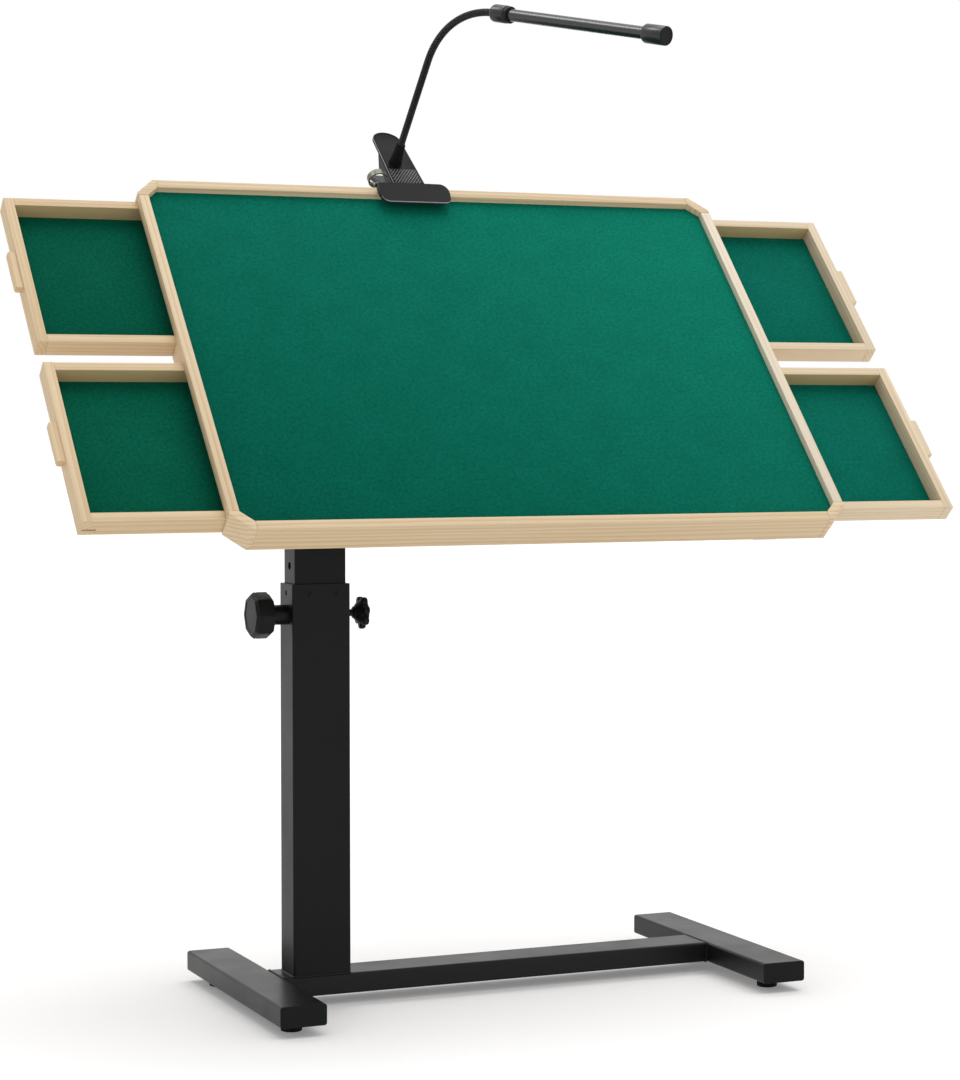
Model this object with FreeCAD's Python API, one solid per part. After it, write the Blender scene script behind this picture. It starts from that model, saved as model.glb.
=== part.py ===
import FreeCAD, Part
import math
import os

V = FreeCAD.Vector
Rotation = FreeCAD.Rotation
Placement = FreeCAD.Placement

# Puzzle table: a tilting board with four drawers on an offset telescopic column,
# and a clip-on gooseneck light. Millimetres. X to the right, Y to the back, Z up.
# The base is centred on X = 0, Y = 0. At export all pieces move by one step in Y,
# so that the origin lies under the middle of the bounding box.

# ---- driving dimensions: base --------------------------------------------------------
glide_diameter = 24.0
glide_height = 12.0
glide_inset = 42.0
glide_chamfer = 1.0
foot_length = 344.0
foot_width = 54.0
foot_height = 24.0
foot_spacing = 600.0
base_wall = 1.5
base_corner = 3.0
crossbar_width = 56.0
cap_flange = 2.0
cap_plug = 14.0
cap_clearance = 0.1

# ---- driving dimensions: telescopic column -------------------------------------------
column_from_foot = 74.0
column_width = 70.0
column_depth = 46.0
column_wall = 2.0
column_length = 451.5
inner_width = 62.0
inner_depth = 38.0
inner_wall = 2.0
inner_corner = 2.0
inner_length = 420.0
inner_raised = 138.5
slide_clearance = 0.2
bush_length = 60.0
bush_button_diameter = 5.6
bush_button_clearance = 0.2
bush_button_drop = 10.5
bush_button_spread = 33.0
bush_button_root = 1.0
bush_button_depth = 0.8
slider_length = 40.0
slider_floor = 3.0

# ---- driving dimensions: height pin and height clamp ---------------------------------
knob_drop = 35.5
pin_diameter = 8.0
pin_fit = 0.05
pin_travel = 10.0
pin_parking_gap = 0.3
pin_end_allowance = 1.0
hole_pitch = 28.0
holes_above = 3
holes_below = 5
hole_clearance = 0.5
collar_diameter = 23.0
collar_length = 20.5
index_knob_across = 50.0
index_knob_length = 23.0
index_knob_chamfer = 3.0
index_knob_bore_clearance = 0.3
pin_in_knob = 7.0
clamp_stud_diameter = 8.0
clamp_knob_diameter = 38.5
clamp_knob_length = 10.0
clamp_hub_diameter = 14.0
clamp_hub_length = 7.0
clamp_gap = 10.0
rivet_flange_diameter = 15.0
rivet_flange = 1.0
rivet_diameter = 11.0
rivet_clearance = 0.1
lobe_count = 7
lobe_radius = 5.5
lobe_step = 1.0
stud_in_knob = 14.0
knob_fit = 0.02

# ---- driving dimensions: tilt head ---------------------------------------------------
head_rise = 24.3
head_plate_thickness = 4.0
head_plate_overhang = 2.0
cross_tube_diameter = 30.0
cross_tube_wall = 2.0
cross_tube_length = 610.0
cross_tube_past_arm = 5.0
clamp_width = 60.0
clamp_wall = 7.0
clamp_fit = 0.08
clamp_slit = 3.0
ear_thickness = 7.0
ear_reach = 65.0
ear_screw_reach = 50.0
saddle_depth = 30.0
tilt_screw_diameter = 8.0
tilt_knob_diameter = 40.0
tilt_knob_length = 20.0
tilt_knob_gap = 1.0
tilt_hub_diameter = 15.0
tilt_hub_length = 6.0

# ---- driving dimensions: board -------------------------------------------------------
board_width = 762.0
board_depth = 550.0
board_height = 35.0
board_tilt = 47.0
pivot_from_front = 187.0
pivot_below_top = 66.0
lip_width = 12.5
rail_width = 25.0
panel_seat = 12.0
panel_thickness = 3.0
felt_thickness = 1.0
corner_chamfer = 22.0
corner_chamfer_inner = 14.0
corner_block = 27.0
mid_beam_width = 30.0
divider_thickness = 12.0
panel_clearance = 0.1
ledger_thickness = 2.0
ledger_overlap = 18.0
ledger_end_inset = 30.0
ledger_front_edge = 8.0
ledger_rear_edge = 15.0
arm_spacing = 570.0
arm_beside_clamp = 14.0
arm_width = 30.0
arm_thickness = 5.0
arm_end_inset = 6.0
lug_thickness = 5.0
lug_radius = 21.0
screw_diameter = 4.0
screw_head_diameter = 8.0
screw_head_height = 2.5
screw_length = 22.0
screw_row_shift = 2.0
wood_ease = 0.8

# ---- driving dimensions: drawers -----------------------------------------------------
drawer_side_clearance = 0.8
drawer_top_clearance = 0.4
drawer_floor_clearance = 0.3
drawer_back_clearance = 1.0
drawer_wall = 12.0
drawer_bottom_thickness = 2.5
drawer_fit = 0.1
drawer_pulled = 160.0
pull_length = 57.0
pull_reach = 10.0
pull_height = 9.0
pull_drop = 2.5
pull_bevel = 3.0
slot_length = 15.0
slot_height = 3.0
slot_depth = 4.0
slot_from_end = 9.0
slot_drop = 13.0

# ---- driving dimensions: clip --------------------------------------------------------
clip_u = -25.0
jaw_left = 49.5
jaw_right = 43.5
jaw_height = 12.5
jaw_reach = 30.0
jaw_nose_left_radius = 12.0
jaw_nose_right_radius = 4.0
jaw_back_right_radius = 13.0
jaw_nose_height = 2.5
jaw_back_slope = 4.0
jaw_heel_lap = 2.0
jaw_heel_rise = 1.0
jaw_wall = 1.5
pad_thickness = 2.5
pad_depth = 26.0
lower_pad_depth = 12.0
pad_inset = 4.0
pad_edge_inset = 0.5
clip_plate = 3.5
hinge_behind = 26.0
hinge_below = 17.0
hinge_pin_diameter = 4.0
hinge_fit = 0.05
hinge_overhang = 2.0
ear_wall = 4.0
ear_rise = 2.0
lever_length = 119.0
lever_root_width = 42.0
lever_tip_width = 37.0
lever_drop_angle = 8.5
lever_root_behind = 8.0
lever_root_below = 2.0
flange_thickness = 2.5
flange_run = 74.0
flange_lip = 1.0
flange_heel_behind = 37.0
flange_heel_below = 11.5
flange_ear_behind = 20.5
flange_ear_below = 5.0
lower_lever_angle = 34.0
lower_lever_length = 74.0
lower_jaw_width = 70.0
lower_gap = 0.3
lower_jaw_lap = 2.0
lower_heel_reach = 5.0
lower_cheek_width = 4.0
lower_eye_wall = 2.0
lower_eye_depth = 10.0
lower_eye_nose = 5.0
lower_eye_back = 6.0
lower_tip_cut = 3.0
clip_side_clearance = 0.5
spring_radius = 12.5
spring_thickness = 2.0
spring_width = 8.0
spring_from_ear = 16.0
spring_ear_gap = 0.3
spring_mouth_rise = 6.6

# ---- driving dimensions: light -------------------------------------------------------
neck_diameter = 9.0
neck_from_lip = 60.0
relief_top = 18.4
relief_root_diameter = 16.0
relief_top_diameter = 11.0
socket_depth = 12.0
socket_fit = 0.05
neck_root_shift = -4.0
neck_back_lean = 3.2
neck_yaw = 64.7
neck_joint_low = 62.0
neck_joint_high = 116.0
neck_straight = 128.0
neck_bend_radius = 140.0
neck_bend_turn = 60.7
neck_joint_gap = 0.3
barrel_diameter = 21.0
barrel_length = 23.0
neck_in_barrel = 6.0
ring_diameter = 20.0
ring_length = 6.0
tube_diameter = 14.5
tube_wall = 1.2
tube_in_ring = 5.5
tube_fit = 0.1
tube_visible = 213.5
window_width = 9.0
window_fit = 0.1
window_end_margin = 2.0
led_width = 10.5
led_thickness = 1.6
led_fit = 0.1
led_inner_gap = 2.0
led_outer_gap = 4.0
light_cap_diameter = 22.0
light_cap_length = 30.0
light_cap_chamfer = 1.0
light_cap_socket = 8.0
port_width = 9.0
port_height = 3.2
port_depth = 6.0
port_from_end = 11.0
button_diameter = 6.0
button_proud = 1.2
button_travel = 0.7
button_pocket = 3.0
button_fit = 0.15
button_floor_gap = 0.2

# ---- places worked out from the dimensions -------------------------------------------
foot_top = glide_height + foot_height
foot_x = foot_spacing / 2
column_x = column_from_foot - foot_x
column_y = (column_depth - crossbar_width) / 2
column_top = foot_top + column_length
knob_z = column_top - knob_drop
inner_top = column_top + inner_raised
inner_bottom = inner_top - inner_length
pivot_z = inner_top + head_rise
outer_left = column_x - column_width / 2
outer_right = column_x + column_width / 2
inner_left = column_x - inner_width / 2
inner_right = column_x + inner_width / 2
pivot = V(0, column_y, pivot_z)
left_arm_x = column_x - clamp_width / 2 - arm_beside_clamp - arm_width / 2
arm_places = (left_arm_x, left_arm_x + arm_spacing)
cross_tube_left = left_arm_x - arm_width / 2 - cross_tube_past_arm
cross_tube_ends = (cross_tube_left, cross_tube_left + cross_tube_length)
board_half = board_width / 2
drawer_top = -panel_seat - drawer_top_clearance
drawer_bottom = -board_height + drawer_floor_clearance
bay_depth = (board_depth - 2 * rail_width - mid_beam_width) / 2
front_bay = rail_width
rear_bay = rail_width + bay_depth + mid_beam_width
drawer_length = board_half - divider_thickness / 2 - drawer_back_clearance

tilt_turn = Rotation(V(1, 0, 0), board_tilt)
board_place = Placement(pivot, tilt_turn) * Placement(V(0, -pivot_from_front, pivot_below_top), Rotation())


# ---- helpers -------------------------------------------------------------------------
def box(x0, x1, y0, y1, z0, z1):
    return Part.makeBox(x1 - x0, y1 - y0, z1 - z0, V(x0, y0, z0))


def rod(radius, start, end):
    axis = end.sub(start)
    return Part.makeCylinder(radius, axis.Length, start, axis)


def rod_x(radius, x0, x1, y, z):
    return rod(radius, V(x0, y, z), V(x1, y, z))


def rod_y(radius, x, y0, y1, z):
    return rod(radius, V(x, y0, z), V(x, y1, z))


def rod_z(radius, x, y, z0, z1):
    return rod(radius, V(x, y, z0), V(x, y, z1))


def taper(radius_start, radius_end, start, end):
    axis = end.sub(start)
    return Part.makeCone(radius_start, radius_end, axis.Length, start, axis)


def edges_along(shape, axis):
    chosen = []
    for edge in shape.Edges:
        run = edge.Vertexes[-1].Point.sub(edge.Vertexes[0].Point)
        if run.Length > 0 and abs(abs(run.normalize().dot(axis)) - 1) < 1e-6:
            chosen.append(edge)
    return chosen


def rounded_bar(bounds, axis, radius):
    solid = box(*bounds)
    return solid.makeFillet(radius, edges_along(solid, axis))


def shrink(bounds, axis, by):
    grown = list(bounds)
    for index, part in enumerate((axis.x, axis.y, axis.z)):
        if part == 0:
            grown[2 * index] += by
            grown[2 * index + 1] -= by
    return grown


def square_tube(bounds, axis, wall, corner):
    outer = rounded_bar(bounds, axis, corner)
    inner = rounded_bar(shrink(bounds, axis, wall), axis, max(corner - wall, 0.5))
    return outer.cut(inner)


def extrude_x(points, x0, x1):
    ring = [V(x0, y, z) for y, z in points]
    face = Part.Face(Part.makePolygon(ring + ring[:1]))
    return face.extrude(V(x1 - x0, 0, 0))


def extrude_z(points, z0, z1):
    ring = [V(x, y, z0) for x, y in points]
    face = Part.Face(Part.makePolygon(ring + ring[:1]))
    return face.extrude(V(0, 0, z1 - z0))


def joined(first, *others):
    result = first
    for other in others:
        result = result.fuse(other)
    return result.removeSplitter()


def moved(shape, place):
    copy = shape.copy()
    copy.Placement = place.multiply(copy.Placement)
    return copy


def on_board(shape):
    return moved(shape, board_place)


def group(solids):
    return Part.makeCompound(solids)


def lobed_knob(diameter, length, hub_diameter, hub_length, stud_diameter):
    """Knob along +Z: hub from z = 0, then the lobed head; blind hole for the stud."""
    head_top = hub_length + length
    core_radius = diameter / 2 - lobe_radius
    knob = rod_z(core_radius, 0, 0, hub_length, head_top)
    for index in range(lobe_count):
        turn = math.radians(360.0 * index / lobe_count)
        x = core_radius * math.cos(turn)
        y = core_radius * math.sin(turn)
        knob = knob.fuse(rod_z(lobe_radius, x, y, hub_length + lobe_step, head_top - lobe_step))
    knob = knob.fuse(taper(hub_diameter / 2, core_radius, V(0, 0, 0), V(0, 0, hub_length)))
    hole = rod_z(stud_diameter / 2 + knob_fit, 0, 0, -1, stud_in_knob)
    return knob.cut(hole).removeSplitter()


# ---- base ----------------------------------------------------------------------------
def make_foot(x):
    half = foot_length / 2 - cap_flange
    bounds = (x - foot_width / 2, x + foot_width / 2, -half, half, glide_height, foot_top)
    return square_tube(bounds, V(0, 1, 0), base_wall, base_corner)


def make_end_cap(x, end):
    y_out = end * foot_length / 2
    y_flange = end * (foot_length / 2 - cap_flange)
    y_in = end * (foot_length / 2 - cap_flange - cap_plug)
    across = (x - foot_width / 2, x + foot_width / 2)
    flange_bounds = (*across, min(y_out, y_flange), max(y_out, y_flange), glide_height, foot_top)
    plug_bounds = (*across, min(y_in, y_flange), max(y_in, y_flange), glide_height, foot_top)
    flange = rounded_bar(flange_bounds, V(0, 1, 0), base_corner)
    inside = shrink(plug_bounds, V(0, 1, 0), base_wall + cap_clearance)
    plug = rounded_bar(inside, V(0, 1, 0), base_corner - base_wall)
    return flange.fuse(plug)


def make_glide(x, y):
    body = rod_z(glide_diameter / 2, x, y, 0, glide_height)
    foot_edge = [edge for edge in body.Edges if edge.Closed and edge.BoundBox.ZMax < glide_height / 2]
    return body.makeChamfer(glide_chamfer, foot_edge)


def make_crossbar():
    inner_face = foot_x - foot_width / 2
    half = crossbar_width / 2
    bounds = (-inner_face, inner_face, -half, half, glide_height, foot_top)
    return square_tube(bounds, V(1, 0, 0), base_wall, base_corner)


# ---- column --------------------------------------------------------------------------
def button_rods(radius, start, end):
    """Round buttons of the guide bush on all four faces of the outer column, between two depths."""
    z = column_top - bush_button_drop
    x_sides = (outer_left, outer_right)
    y_front = column_y - column_depth / 2
    y_back = column_y + column_depth / 2
    rods = []
    for x, sign in zip(x_sides, (1, -1)):
        rods.append(rod_x(radius, x + sign * start, x + sign * end, column_y, z))
    for shift in (-bush_button_spread / 2, bush_button_spread / 2):
        x = column_x + shift
        rods.append(rod_y(radius, x, y_front + start, y_front + end, z))
        rods.append(rod_y(radius, x, y_back - start, y_back - end, z))
    return rods


def upright(half_x, half_y, z0, z1):
    """Bounds of an upright centred on the column's axis."""
    return (column_x - half_x, column_x + half_x, column_y - half_y, column_y + half_y, z0, z1)


def make_outer_column():
    bounds = upright(column_width / 2, column_depth / 2, foot_top, column_top)
    tube = square_tube(bounds, V(0, 0, 1), column_wall, base_corner)
    for hole in button_rods(bush_button_diameter / 2 + bush_button_clearance, 0, column_wall):
        tube = tube.cut(hole)
    pin_hole_radius = pin_diameter / 2 + hole_clearance
    nut_hole_radius = rivet_diameter / 2 + rivet_clearance
    pin_hole = rod_x(pin_hole_radius, outer_left, outer_left + column_wall, column_y, knob_z)
    nut_hole = rod_x(nut_hole_radius, outer_right, outer_right - column_wall, column_y, knob_z)
    return tube.cut(pin_hole).cut(nut_hole)


def make_guide_bush():
    z = (column_top - bush_length, column_top)
    outer_bounds = upright(column_width / 2 - column_wall, column_depth / 2 - column_wall, *z)
    hollow_bounds = upright(inner_width / 2 + slide_clearance, inner_depth / 2 + slide_clearance, *z)
    outer = rounded_bar(outer_bounds, V(0, 0, 1), base_corner - column_wall)
    bush = outer.cut(rounded_bar(hollow_bounds, V(0, 0, 1), inner_corner))
    root = column_wall + bush_button_root
    for button in button_rods(bush_button_diameter / 2, bush_button_depth, root):
        bush = bush.fuse(button)
    left_hole = rod_x(pin_diameter / 2 + hole_clearance, outer_left, inner_left, column_y, knob_z)
    right_hole = rod_x(rivet_diameter / 2 + rivet_clearance, outer_right, inner_right, column_y, knob_z)
    return bush.cut(left_hole).cut(right_hole)


def make_inner_column():
    bounds = upright(inner_width / 2, inner_depth / 2, inner_bottom, inner_top)
    tube = square_tube(bounds, V(0, 0, 1), inner_wall, inner_corner)
    for index in range(-holes_below, holes_above + 1):
        z = knob_z + index * hole_pitch
        hole = rod_x(pin_diameter / 2 + hole_clearance, inner_left, inner_left + inner_wall, column_y, z)
        tube = tube.cut(hole)
    return tube


def make_slider_bush():
    gap = column_wall + slide_clearance
    top = inner_bottom + slider_length
    outer_bounds = upright(column_width / 2 - gap, column_depth / 2 - gap, inner_bottom - slider_floor, top)
    cup_bounds = upright(inner_width / 2, inner_depth / 2, inner_bottom, top)
    outer = rounded_bar(outer_bounds, V(0, 0, 1), base_corner - column_wall)
    return outer.cut(rounded_bar(cup_bounds, V(0, 0, 1), inner_corner))


# ---- height pin and height clamp -----------------------------------------------------
def along_x(x, y, z):
    """Placement that turns a piece built along +Z so that it runs along +X from the given point."""
    return Placement(V(x, y, z), Rotation(V(0, 1, 0), 90))


def make_pin_collar():
    body = rod_x(collar_diameter / 2, outer_left - collar_length, outer_left, column_y, knob_z)
    bore = rod_x(pin_diameter / 2 + pin_fit, outer_left - collar_length, outer_left, column_y, knob_z)
    return body.cut(bore)


def make_index_knob():
    inner_face = outer_left - collar_length
    outer_face = inner_face - index_knob_length
    corner_radius = index_knob_across / 2 / math.cos(math.pi / 8)
    points = []
    for index in range(8):
        turn = index * math.pi / 4
        points.append((column_y + corner_radius * math.cos(turn), knob_z + corner_radius * math.sin(turn)))
    knob = extrude_x(points, outer_face, inner_face)
    rim = [edge for edge in knob.Edges if abs(edge.BoundBox.XMax - outer_face) < 1e-6]
    knob = knob.makeChamfer(index_knob_chamfer, rim)
    bore_depth = pin_travel + pin_end_allowance
    bore_radius = collar_diameter / 2 + index_knob_bore_clearance
    bore = rod_x(bore_radius, inner_face - bore_depth, inner_face, column_y, knob_z)
    hole_radius = pin_diameter / 2 + knob_fit
    pin_hole = rod_x(hole_radius, inner_face - bore_depth - pin_in_knob, inner_face, column_y, knob_z)
    return knob.cut(bore).cut(pin_hole)


def make_index_pin():
    root = outer_left - collar_length - pin_travel - pin_end_allowance - pin_in_knob
    return rod_x(pin_diameter / 2, root, inner_left - pin_parking_gap, column_y, knob_z)


def make_rivet_nut():
    flange_end = outer_right + rivet_flange
    flange = rod_x(rivet_flange_diameter / 2, outer_right, flange_end, column_y, knob_z)
    barrel_end = inner_right + slide_clearance + pin_parking_gap
    barrel = rod_x(rivet_diameter / 2, barrel_end, outer_right, column_y, knob_z)
    bore = rod_x(clamp_stud_diameter / 2 + pin_fit, barrel_end, flange_end, column_y, knob_z)
    return flange.fuse(barrel).cut(bore)


def clamp_knob_start():
    return outer_right + rivet_flange + clamp_gap


def make_clamp_knob():
    head = (clamp_knob_diameter, clamp_knob_length)
    hub = (clamp_hub_diameter, clamp_hub_length)
    knob = lobed_knob(*head, *hub, clamp_stud_diameter)
    return moved(knob, along_x(clamp_knob_start(), column_y, knob_z))


def make_clamp_stud():
    start = V(inner_right + pin_parking_gap, column_y, knob_z)
    end = V(clamp_knob_start() + stud_in_knob, column_y, knob_z)
    return rod(clamp_stud_diameter / 2, start, end)


# ---- tilt head -----------------------------------------------------------------------
def make_tilt_clamp():
    x0 = column_x - clamp_width / 2
    x1 = column_x + clamp_width / 2
    tube_radius = cross_tube_diameter / 2 + clamp_fit
    outer_radius = tube_radius + clamp_wall
    plate_x = inner_width / 2 + head_plate_overhang
    plate_y = inner_depth / 2 + head_plate_overhang
    plate = box(column_x - plate_x, column_x + plate_x, column_y - plate_y, column_y + plate_y,
                inner_top, inner_top + head_plate_thickness)
    saddle = box(x0, x1, column_y - saddle_depth / 2, column_y + saddle_depth / 2,
                 inner_top + head_plate_thickness, pivot_z - outer_radius / 2)
    ring = rod_x(outer_radius, x0, x1, column_y, pivot_z)
    ears = box(x0, x1, column_y, column_y + ear_reach,
               pivot_z - clamp_slit / 2 - ear_thickness, pivot_z + clamp_slit / 2 + ear_thickness)
    body = joined(plate, saddle, ring, ears)
    slit = box(x0, x1, column_y, column_y + ear_reach, pivot_z - clamp_slit / 2, pivot_z + clamp_slit / 2)
    bore = rod_x(tube_radius, x0, x1, column_y, pivot_z)
    y_screw = column_y + ear_screw_reach
    half_stack = clamp_slit / 2 + ear_thickness
    hole_radius = tilt_screw_diameter / 2 + pin_fit
    screw_hole = rod_z(hole_radius, column_x, y_screw, pivot_z - half_stack, pivot_z + half_stack)
    return body.cut(slit).cut(bore).cut(screw_hole)


def tilt_knob_top():
    return pivot_z - clamp_slit / 2 - ear_thickness - tilt_knob_gap


def make_tilt_knob():
    head = (tilt_knob_diameter, tilt_knob_length)
    hub = (tilt_hub_diameter, tilt_hub_length)
    knob = lobed_knob(*head, *hub, tilt_screw_diameter)
    down = Rotation(V(1, 0, 0), 180)
    return moved(knob, Placement(V(column_x, column_y + ear_screw_reach, tilt_knob_top()), down))


def make_tilt_screw():
    y = column_y + ear_screw_reach
    top = pivot_z + clamp_slit / 2 + ear_thickness
    return rod_z(tilt_screw_diameter / 2, column_x, y, tilt_knob_top() - stud_in_knob, top)


# ---- board: built lying flat, front edge at Y = 0, top of the lip at Z = 0 -----------
def make_cross_tube():
    radius = cross_tube_diameter / 2
    outer = rod_x(radius, *cross_tube_ends, pivot_from_front, -pivot_below_top)
    inner = rod_x(radius - cross_tube_wall, *cross_tube_ends, pivot_from_front, -pivot_below_top)
    return outer.cut(inner)


def make_cross_tube_cap(x, end):
    y = pivot_from_front
    z = -pivot_below_top
    flange = rod_x(cross_tube_diameter / 2, x, x + end * cap_flange, y, z)
    plug_radius = cross_tube_diameter / 2 - cross_tube_wall - cap_clearance
    return flange.fuse(rod_x(plug_radius, x, x - end * cap_plug, y, z))


def arm_bottom():
    return -board_height - ledger_thickness - arm_thickness


def make_support_arm(x):
    half = arm_width / 2
    bar = box(x - half, x + half, arm_end_inset, board_depth - arm_end_inset,
              arm_bottom(), -board_height - ledger_thickness)
    lug_half = lug_thickness / 2
    eye = rod_x(lug_radius, x - lug_half, x + lug_half, pivot_from_front, -pivot_below_top)
    web = box(x - lug_half, x + lug_half, pivot_from_front - lug_radius, pivot_from_front + lug_radius,
              -pivot_below_top, arm_bottom())
    bore = rod_x(cross_tube_diameter / 2, x - half, x + half, pivot_from_front, -pivot_below_top)
    arm = joined(bar, web, eye).cut(bore)
    for y in arm_screw_rows():
        arm = arm.cut(rod_z(screw_diameter / 2 + cap_clearance, x, y, arm_bottom(), -board_height))
    return arm


def arm_screw_rows():
    from_edge = rail_width / 2 + screw_row_shift
    return (from_edge, board_depth / 2, board_depth - from_edge)


def make_arm_screws():
    screws = []
    for x in arm_places:
        for y in arm_screw_rows():
            head = rod_z(screw_head_diameter / 2, x, y, arm_bottom() - screw_head_height, arm_bottom())
            shank = rod_z(screw_diameter / 2, x, y, arm_bottom(), arm_bottom() + screw_length)
            screws.append(head.fuse(shank))
    return group(screws)


def cut_screw_holes(solid):
    for x in arm_places:
        for y in arm_screw_rows():
            hole = rod_z(screw_diameter / 2, x, y, arm_bottom(), arm_bottom() + screw_length)
            solid = solid.cut(hole)
    return solid


def make_ledgers():
    x = board_half - ledger_end_inset
    z0 = -board_height - ledger_thickness
    z1 = -board_height
    front = box(-x, x, ledger_front_edge, front_bay + ledger_overlap, z0, z1)
    middle = box(-x, x, rear_bay - mid_beam_width - ledger_overlap, rear_bay + ledger_overlap, z0, z1)
    rear = box(-x, x, board_depth - rail_width - ledger_overlap, board_depth - ledger_rear_edge, z0, z1)
    return group([cut_screw_holes(strip) for strip in (front, middle, rear)])


def make_front_rail():
    x_low = board_half - rail_width
    x_high = board_half - corner_block
    beam = box(-x_low, x_low, 0, rail_width, -board_height, -panel_seat)
    lip = box(-x_high, x_high, 0, lip_width, -panel_seat, 0)
    rail = beam.fuse(lip).removeSplitter()
    top_edges = [edge for edge in edges_along(rail, V(1, 0, 0)) if abs(edge.CenterOfMass.z) < 1e-6]
    return cut_screw_holes(rail.makeChamfer(wood_ease, top_edges))


def mirror_depth(shape):
    return shape.mirror(V(0, board_depth / 2, 0), V(0, 1, 0))


def mirror_width(shape):
    return shape.mirror(V(0, 0, 0), V(1, 0, 0))


def make_rear_rail():
    return mirror_depth(make_front_rail())


def make_corner_block():
    """Front right block: square below the panel, lip only above it."""
    outer = board_half
    low = [(outer - rail_width, 0), (outer - corner_chamfer, 0), (outer, corner_chamfer),
           (outer, rail_width), (outer - rail_width, rail_width)]
    inner = outer - lip_width
    high = [(outer - corner_block, 0), (outer - corner_chamfer, 0), (outer, corner_chamfer),
            (outer, corner_block), (inner, corner_block), (inner, lip_width + corner_chamfer_inner),
            (inner - corner_chamfer_inner, lip_width), (outer - corner_block, lip_width)]
    return extrude_z(low, -board_height, -panel_seat).fuse(extrude_z(high, -panel_seat, 0))


def make_corner_blocks():
    block = make_corner_block()
    rear = mirror_depth(block)
    return group([block, mirror_width(block), rear, mirror_width(rear)])


def make_side_strip():
    y = (corner_block, board_depth - corner_block)
    strip = box(board_half - lip_width, board_half, *y, -panel_seat, 0)
    top_edges = [edge for edge in edges_along(strip, V(0, 1, 0)) if abs(edge.CenterOfMass.z) < 1e-6]
    return strip.makeChamfer(wood_ease, top_edges)


def make_side_strips():
    strip = make_side_strip()
    return group([strip, mirror_width(strip)])


def make_mid_beam():
    y0 = front_bay + bay_depth
    beam = box(-board_half, board_half, y0, y0 + mid_beam_width, -board_height, -panel_seat)
    return cut_screw_holes(beam)


def make_dividers():
    half = divider_thickness / 2
    solids = []
    for y0 in (front_bay, rear_bay):
        solids.append(box(-half, half, y0, y0 + bay_depth, -board_height, -panel_seat))
    return group(solids)


def inner_outline(clearance):
    x = board_half - lip_width - clearance
    y0 = lip_width + clearance
    y1 = board_depth - lip_width - clearance
    c = corner_chamfer_inner
    right = [(x - c, y0), (x, y0 + c), (x, y1 - c), (x - c, y1)]
    left = [(-px, py) for px, py in reversed(right)]
    return right + left


def make_panel():
    return extrude_z(inner_outline(panel_clearance), -panel_seat, -panel_seat + panel_thickness)


def make_felt():
    z0 = -panel_seat + panel_thickness
    return extrude_z(inner_outline(panel_clearance), z0, z0 + felt_thickness)


# ---- drawers: built for the right side, pulled out; the left ones are mirrored -------
def drawer_span(bay_start):
    y0 = bay_start + drawer_side_clearance
    y1 = bay_start + bay_depth - drawer_side_clearance
    x1 = board_half + drawer_pulled
    return x1 - drawer_length, x1, y0, y1


def make_pull(x_face, y_middle):
    z1 = drawer_top - pull_drop
    z0 = z1 - pull_height
    half = pull_length / 2
    block = box(x_face, x_face + pull_reach, y_middle - half, y_middle + half, z0, z1)
    outer_edges = [edge for edge in block.Edges if abs(edge.CenterOfMass.x - x_face - pull_reach) < 1e-6]
    return block.makeChamfer(pull_bevel, outer_edges)


def make_drawer_box(bay_start, with_slot):
    x0, x1, y0, y1 = drawer_span(bay_start)
    w = drawer_wall
    z = (drawer_bottom, drawer_top)
    front = box(x1 - w, x1, y0, y1, *z)
    back = box(x0, x0 + w, y0, y1, *z)
    near = box(x0 + w, x1 - w, y0, y0 + w, *z)
    far = box(x0 + w, x1 - w, y1 - w, y1, *z)
    if with_slot:
        slot_top = drawer_top - slot_drop
        slot_end = x1 - w - slot_from_end
        slot_z = (slot_top - slot_height, slot_top)
        near = near.cut(box(slot_end - slot_length, slot_end, y0, y0 + slot_depth, *slot_z))
    return group([front, back, near, far, make_pull(x1, (y0 + y1) / 2)])


def drawer_floor(bay_start, z0, z1):
    x0, x1, y0, y1 = drawer_span(bay_start)
    inset = drawer_wall + drawer_fit
    return box(x0 + inset, x1 - inset, y0 + inset, y1 - inset, z0, z1)


def make_drawer(name, bay_start, side):
    floor_top = drawer_bottom + drawer_bottom_thickness
    pieces = {
        name + "_box": make_drawer_box(bay_start, name == "front_left_drawer"),
        name + "_bottom": drawer_floor(bay_start, drawer_bottom, floor_top),
        name + "_felt": drawer_floor(bay_start, floor_top, floor_top + felt_thickness),
    }
    if side < 0:
        pieces = {node: mirror_width(shape) for node, shape in pieces.items()}
    return {node: on_board(shape) for node, shape in pieces.items()}


# ---- clip on the rear rail -----------------------------------------------------------
hinge_y = board_depth + hinge_behind
hinge_z = -hinge_below
ear_outer = lever_root_width / 2
ear_inner = ear_outer - flange_thickness


def lever_plate():
    """Upper lever, built from its root along +Y, top face at Z = 0, rounded tip."""
    tip_radius = lever_tip_width / 2
    straight = lever_length - tip_radius
    root = lever_root_width / 2
    corners = [(-root, 0), (root, 0), (tip_radius, straight), (-tip_radius, straight)]
    blade = extrude_z(corners, -clip_plate, 0)
    tip = rod_z(tip_radius, 0, straight, -clip_plate, 0)
    return blade.fuse(tip)


def lever_place():
    start = V(clip_u, board_depth + lever_root_behind, -lever_root_below)
    return Placement(start, Rotation(V(1, 0, 0), -lever_drop_angle))


def lever_point(run, down):
    slope = math.radians(lever_drop_angle)
    y = board_depth + lever_root_behind + run * math.cos(slope) - down * math.sin(slope)
    z = -lever_root_below - run * math.sin(slope) - down * math.cos(slope)
    return y, z


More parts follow.
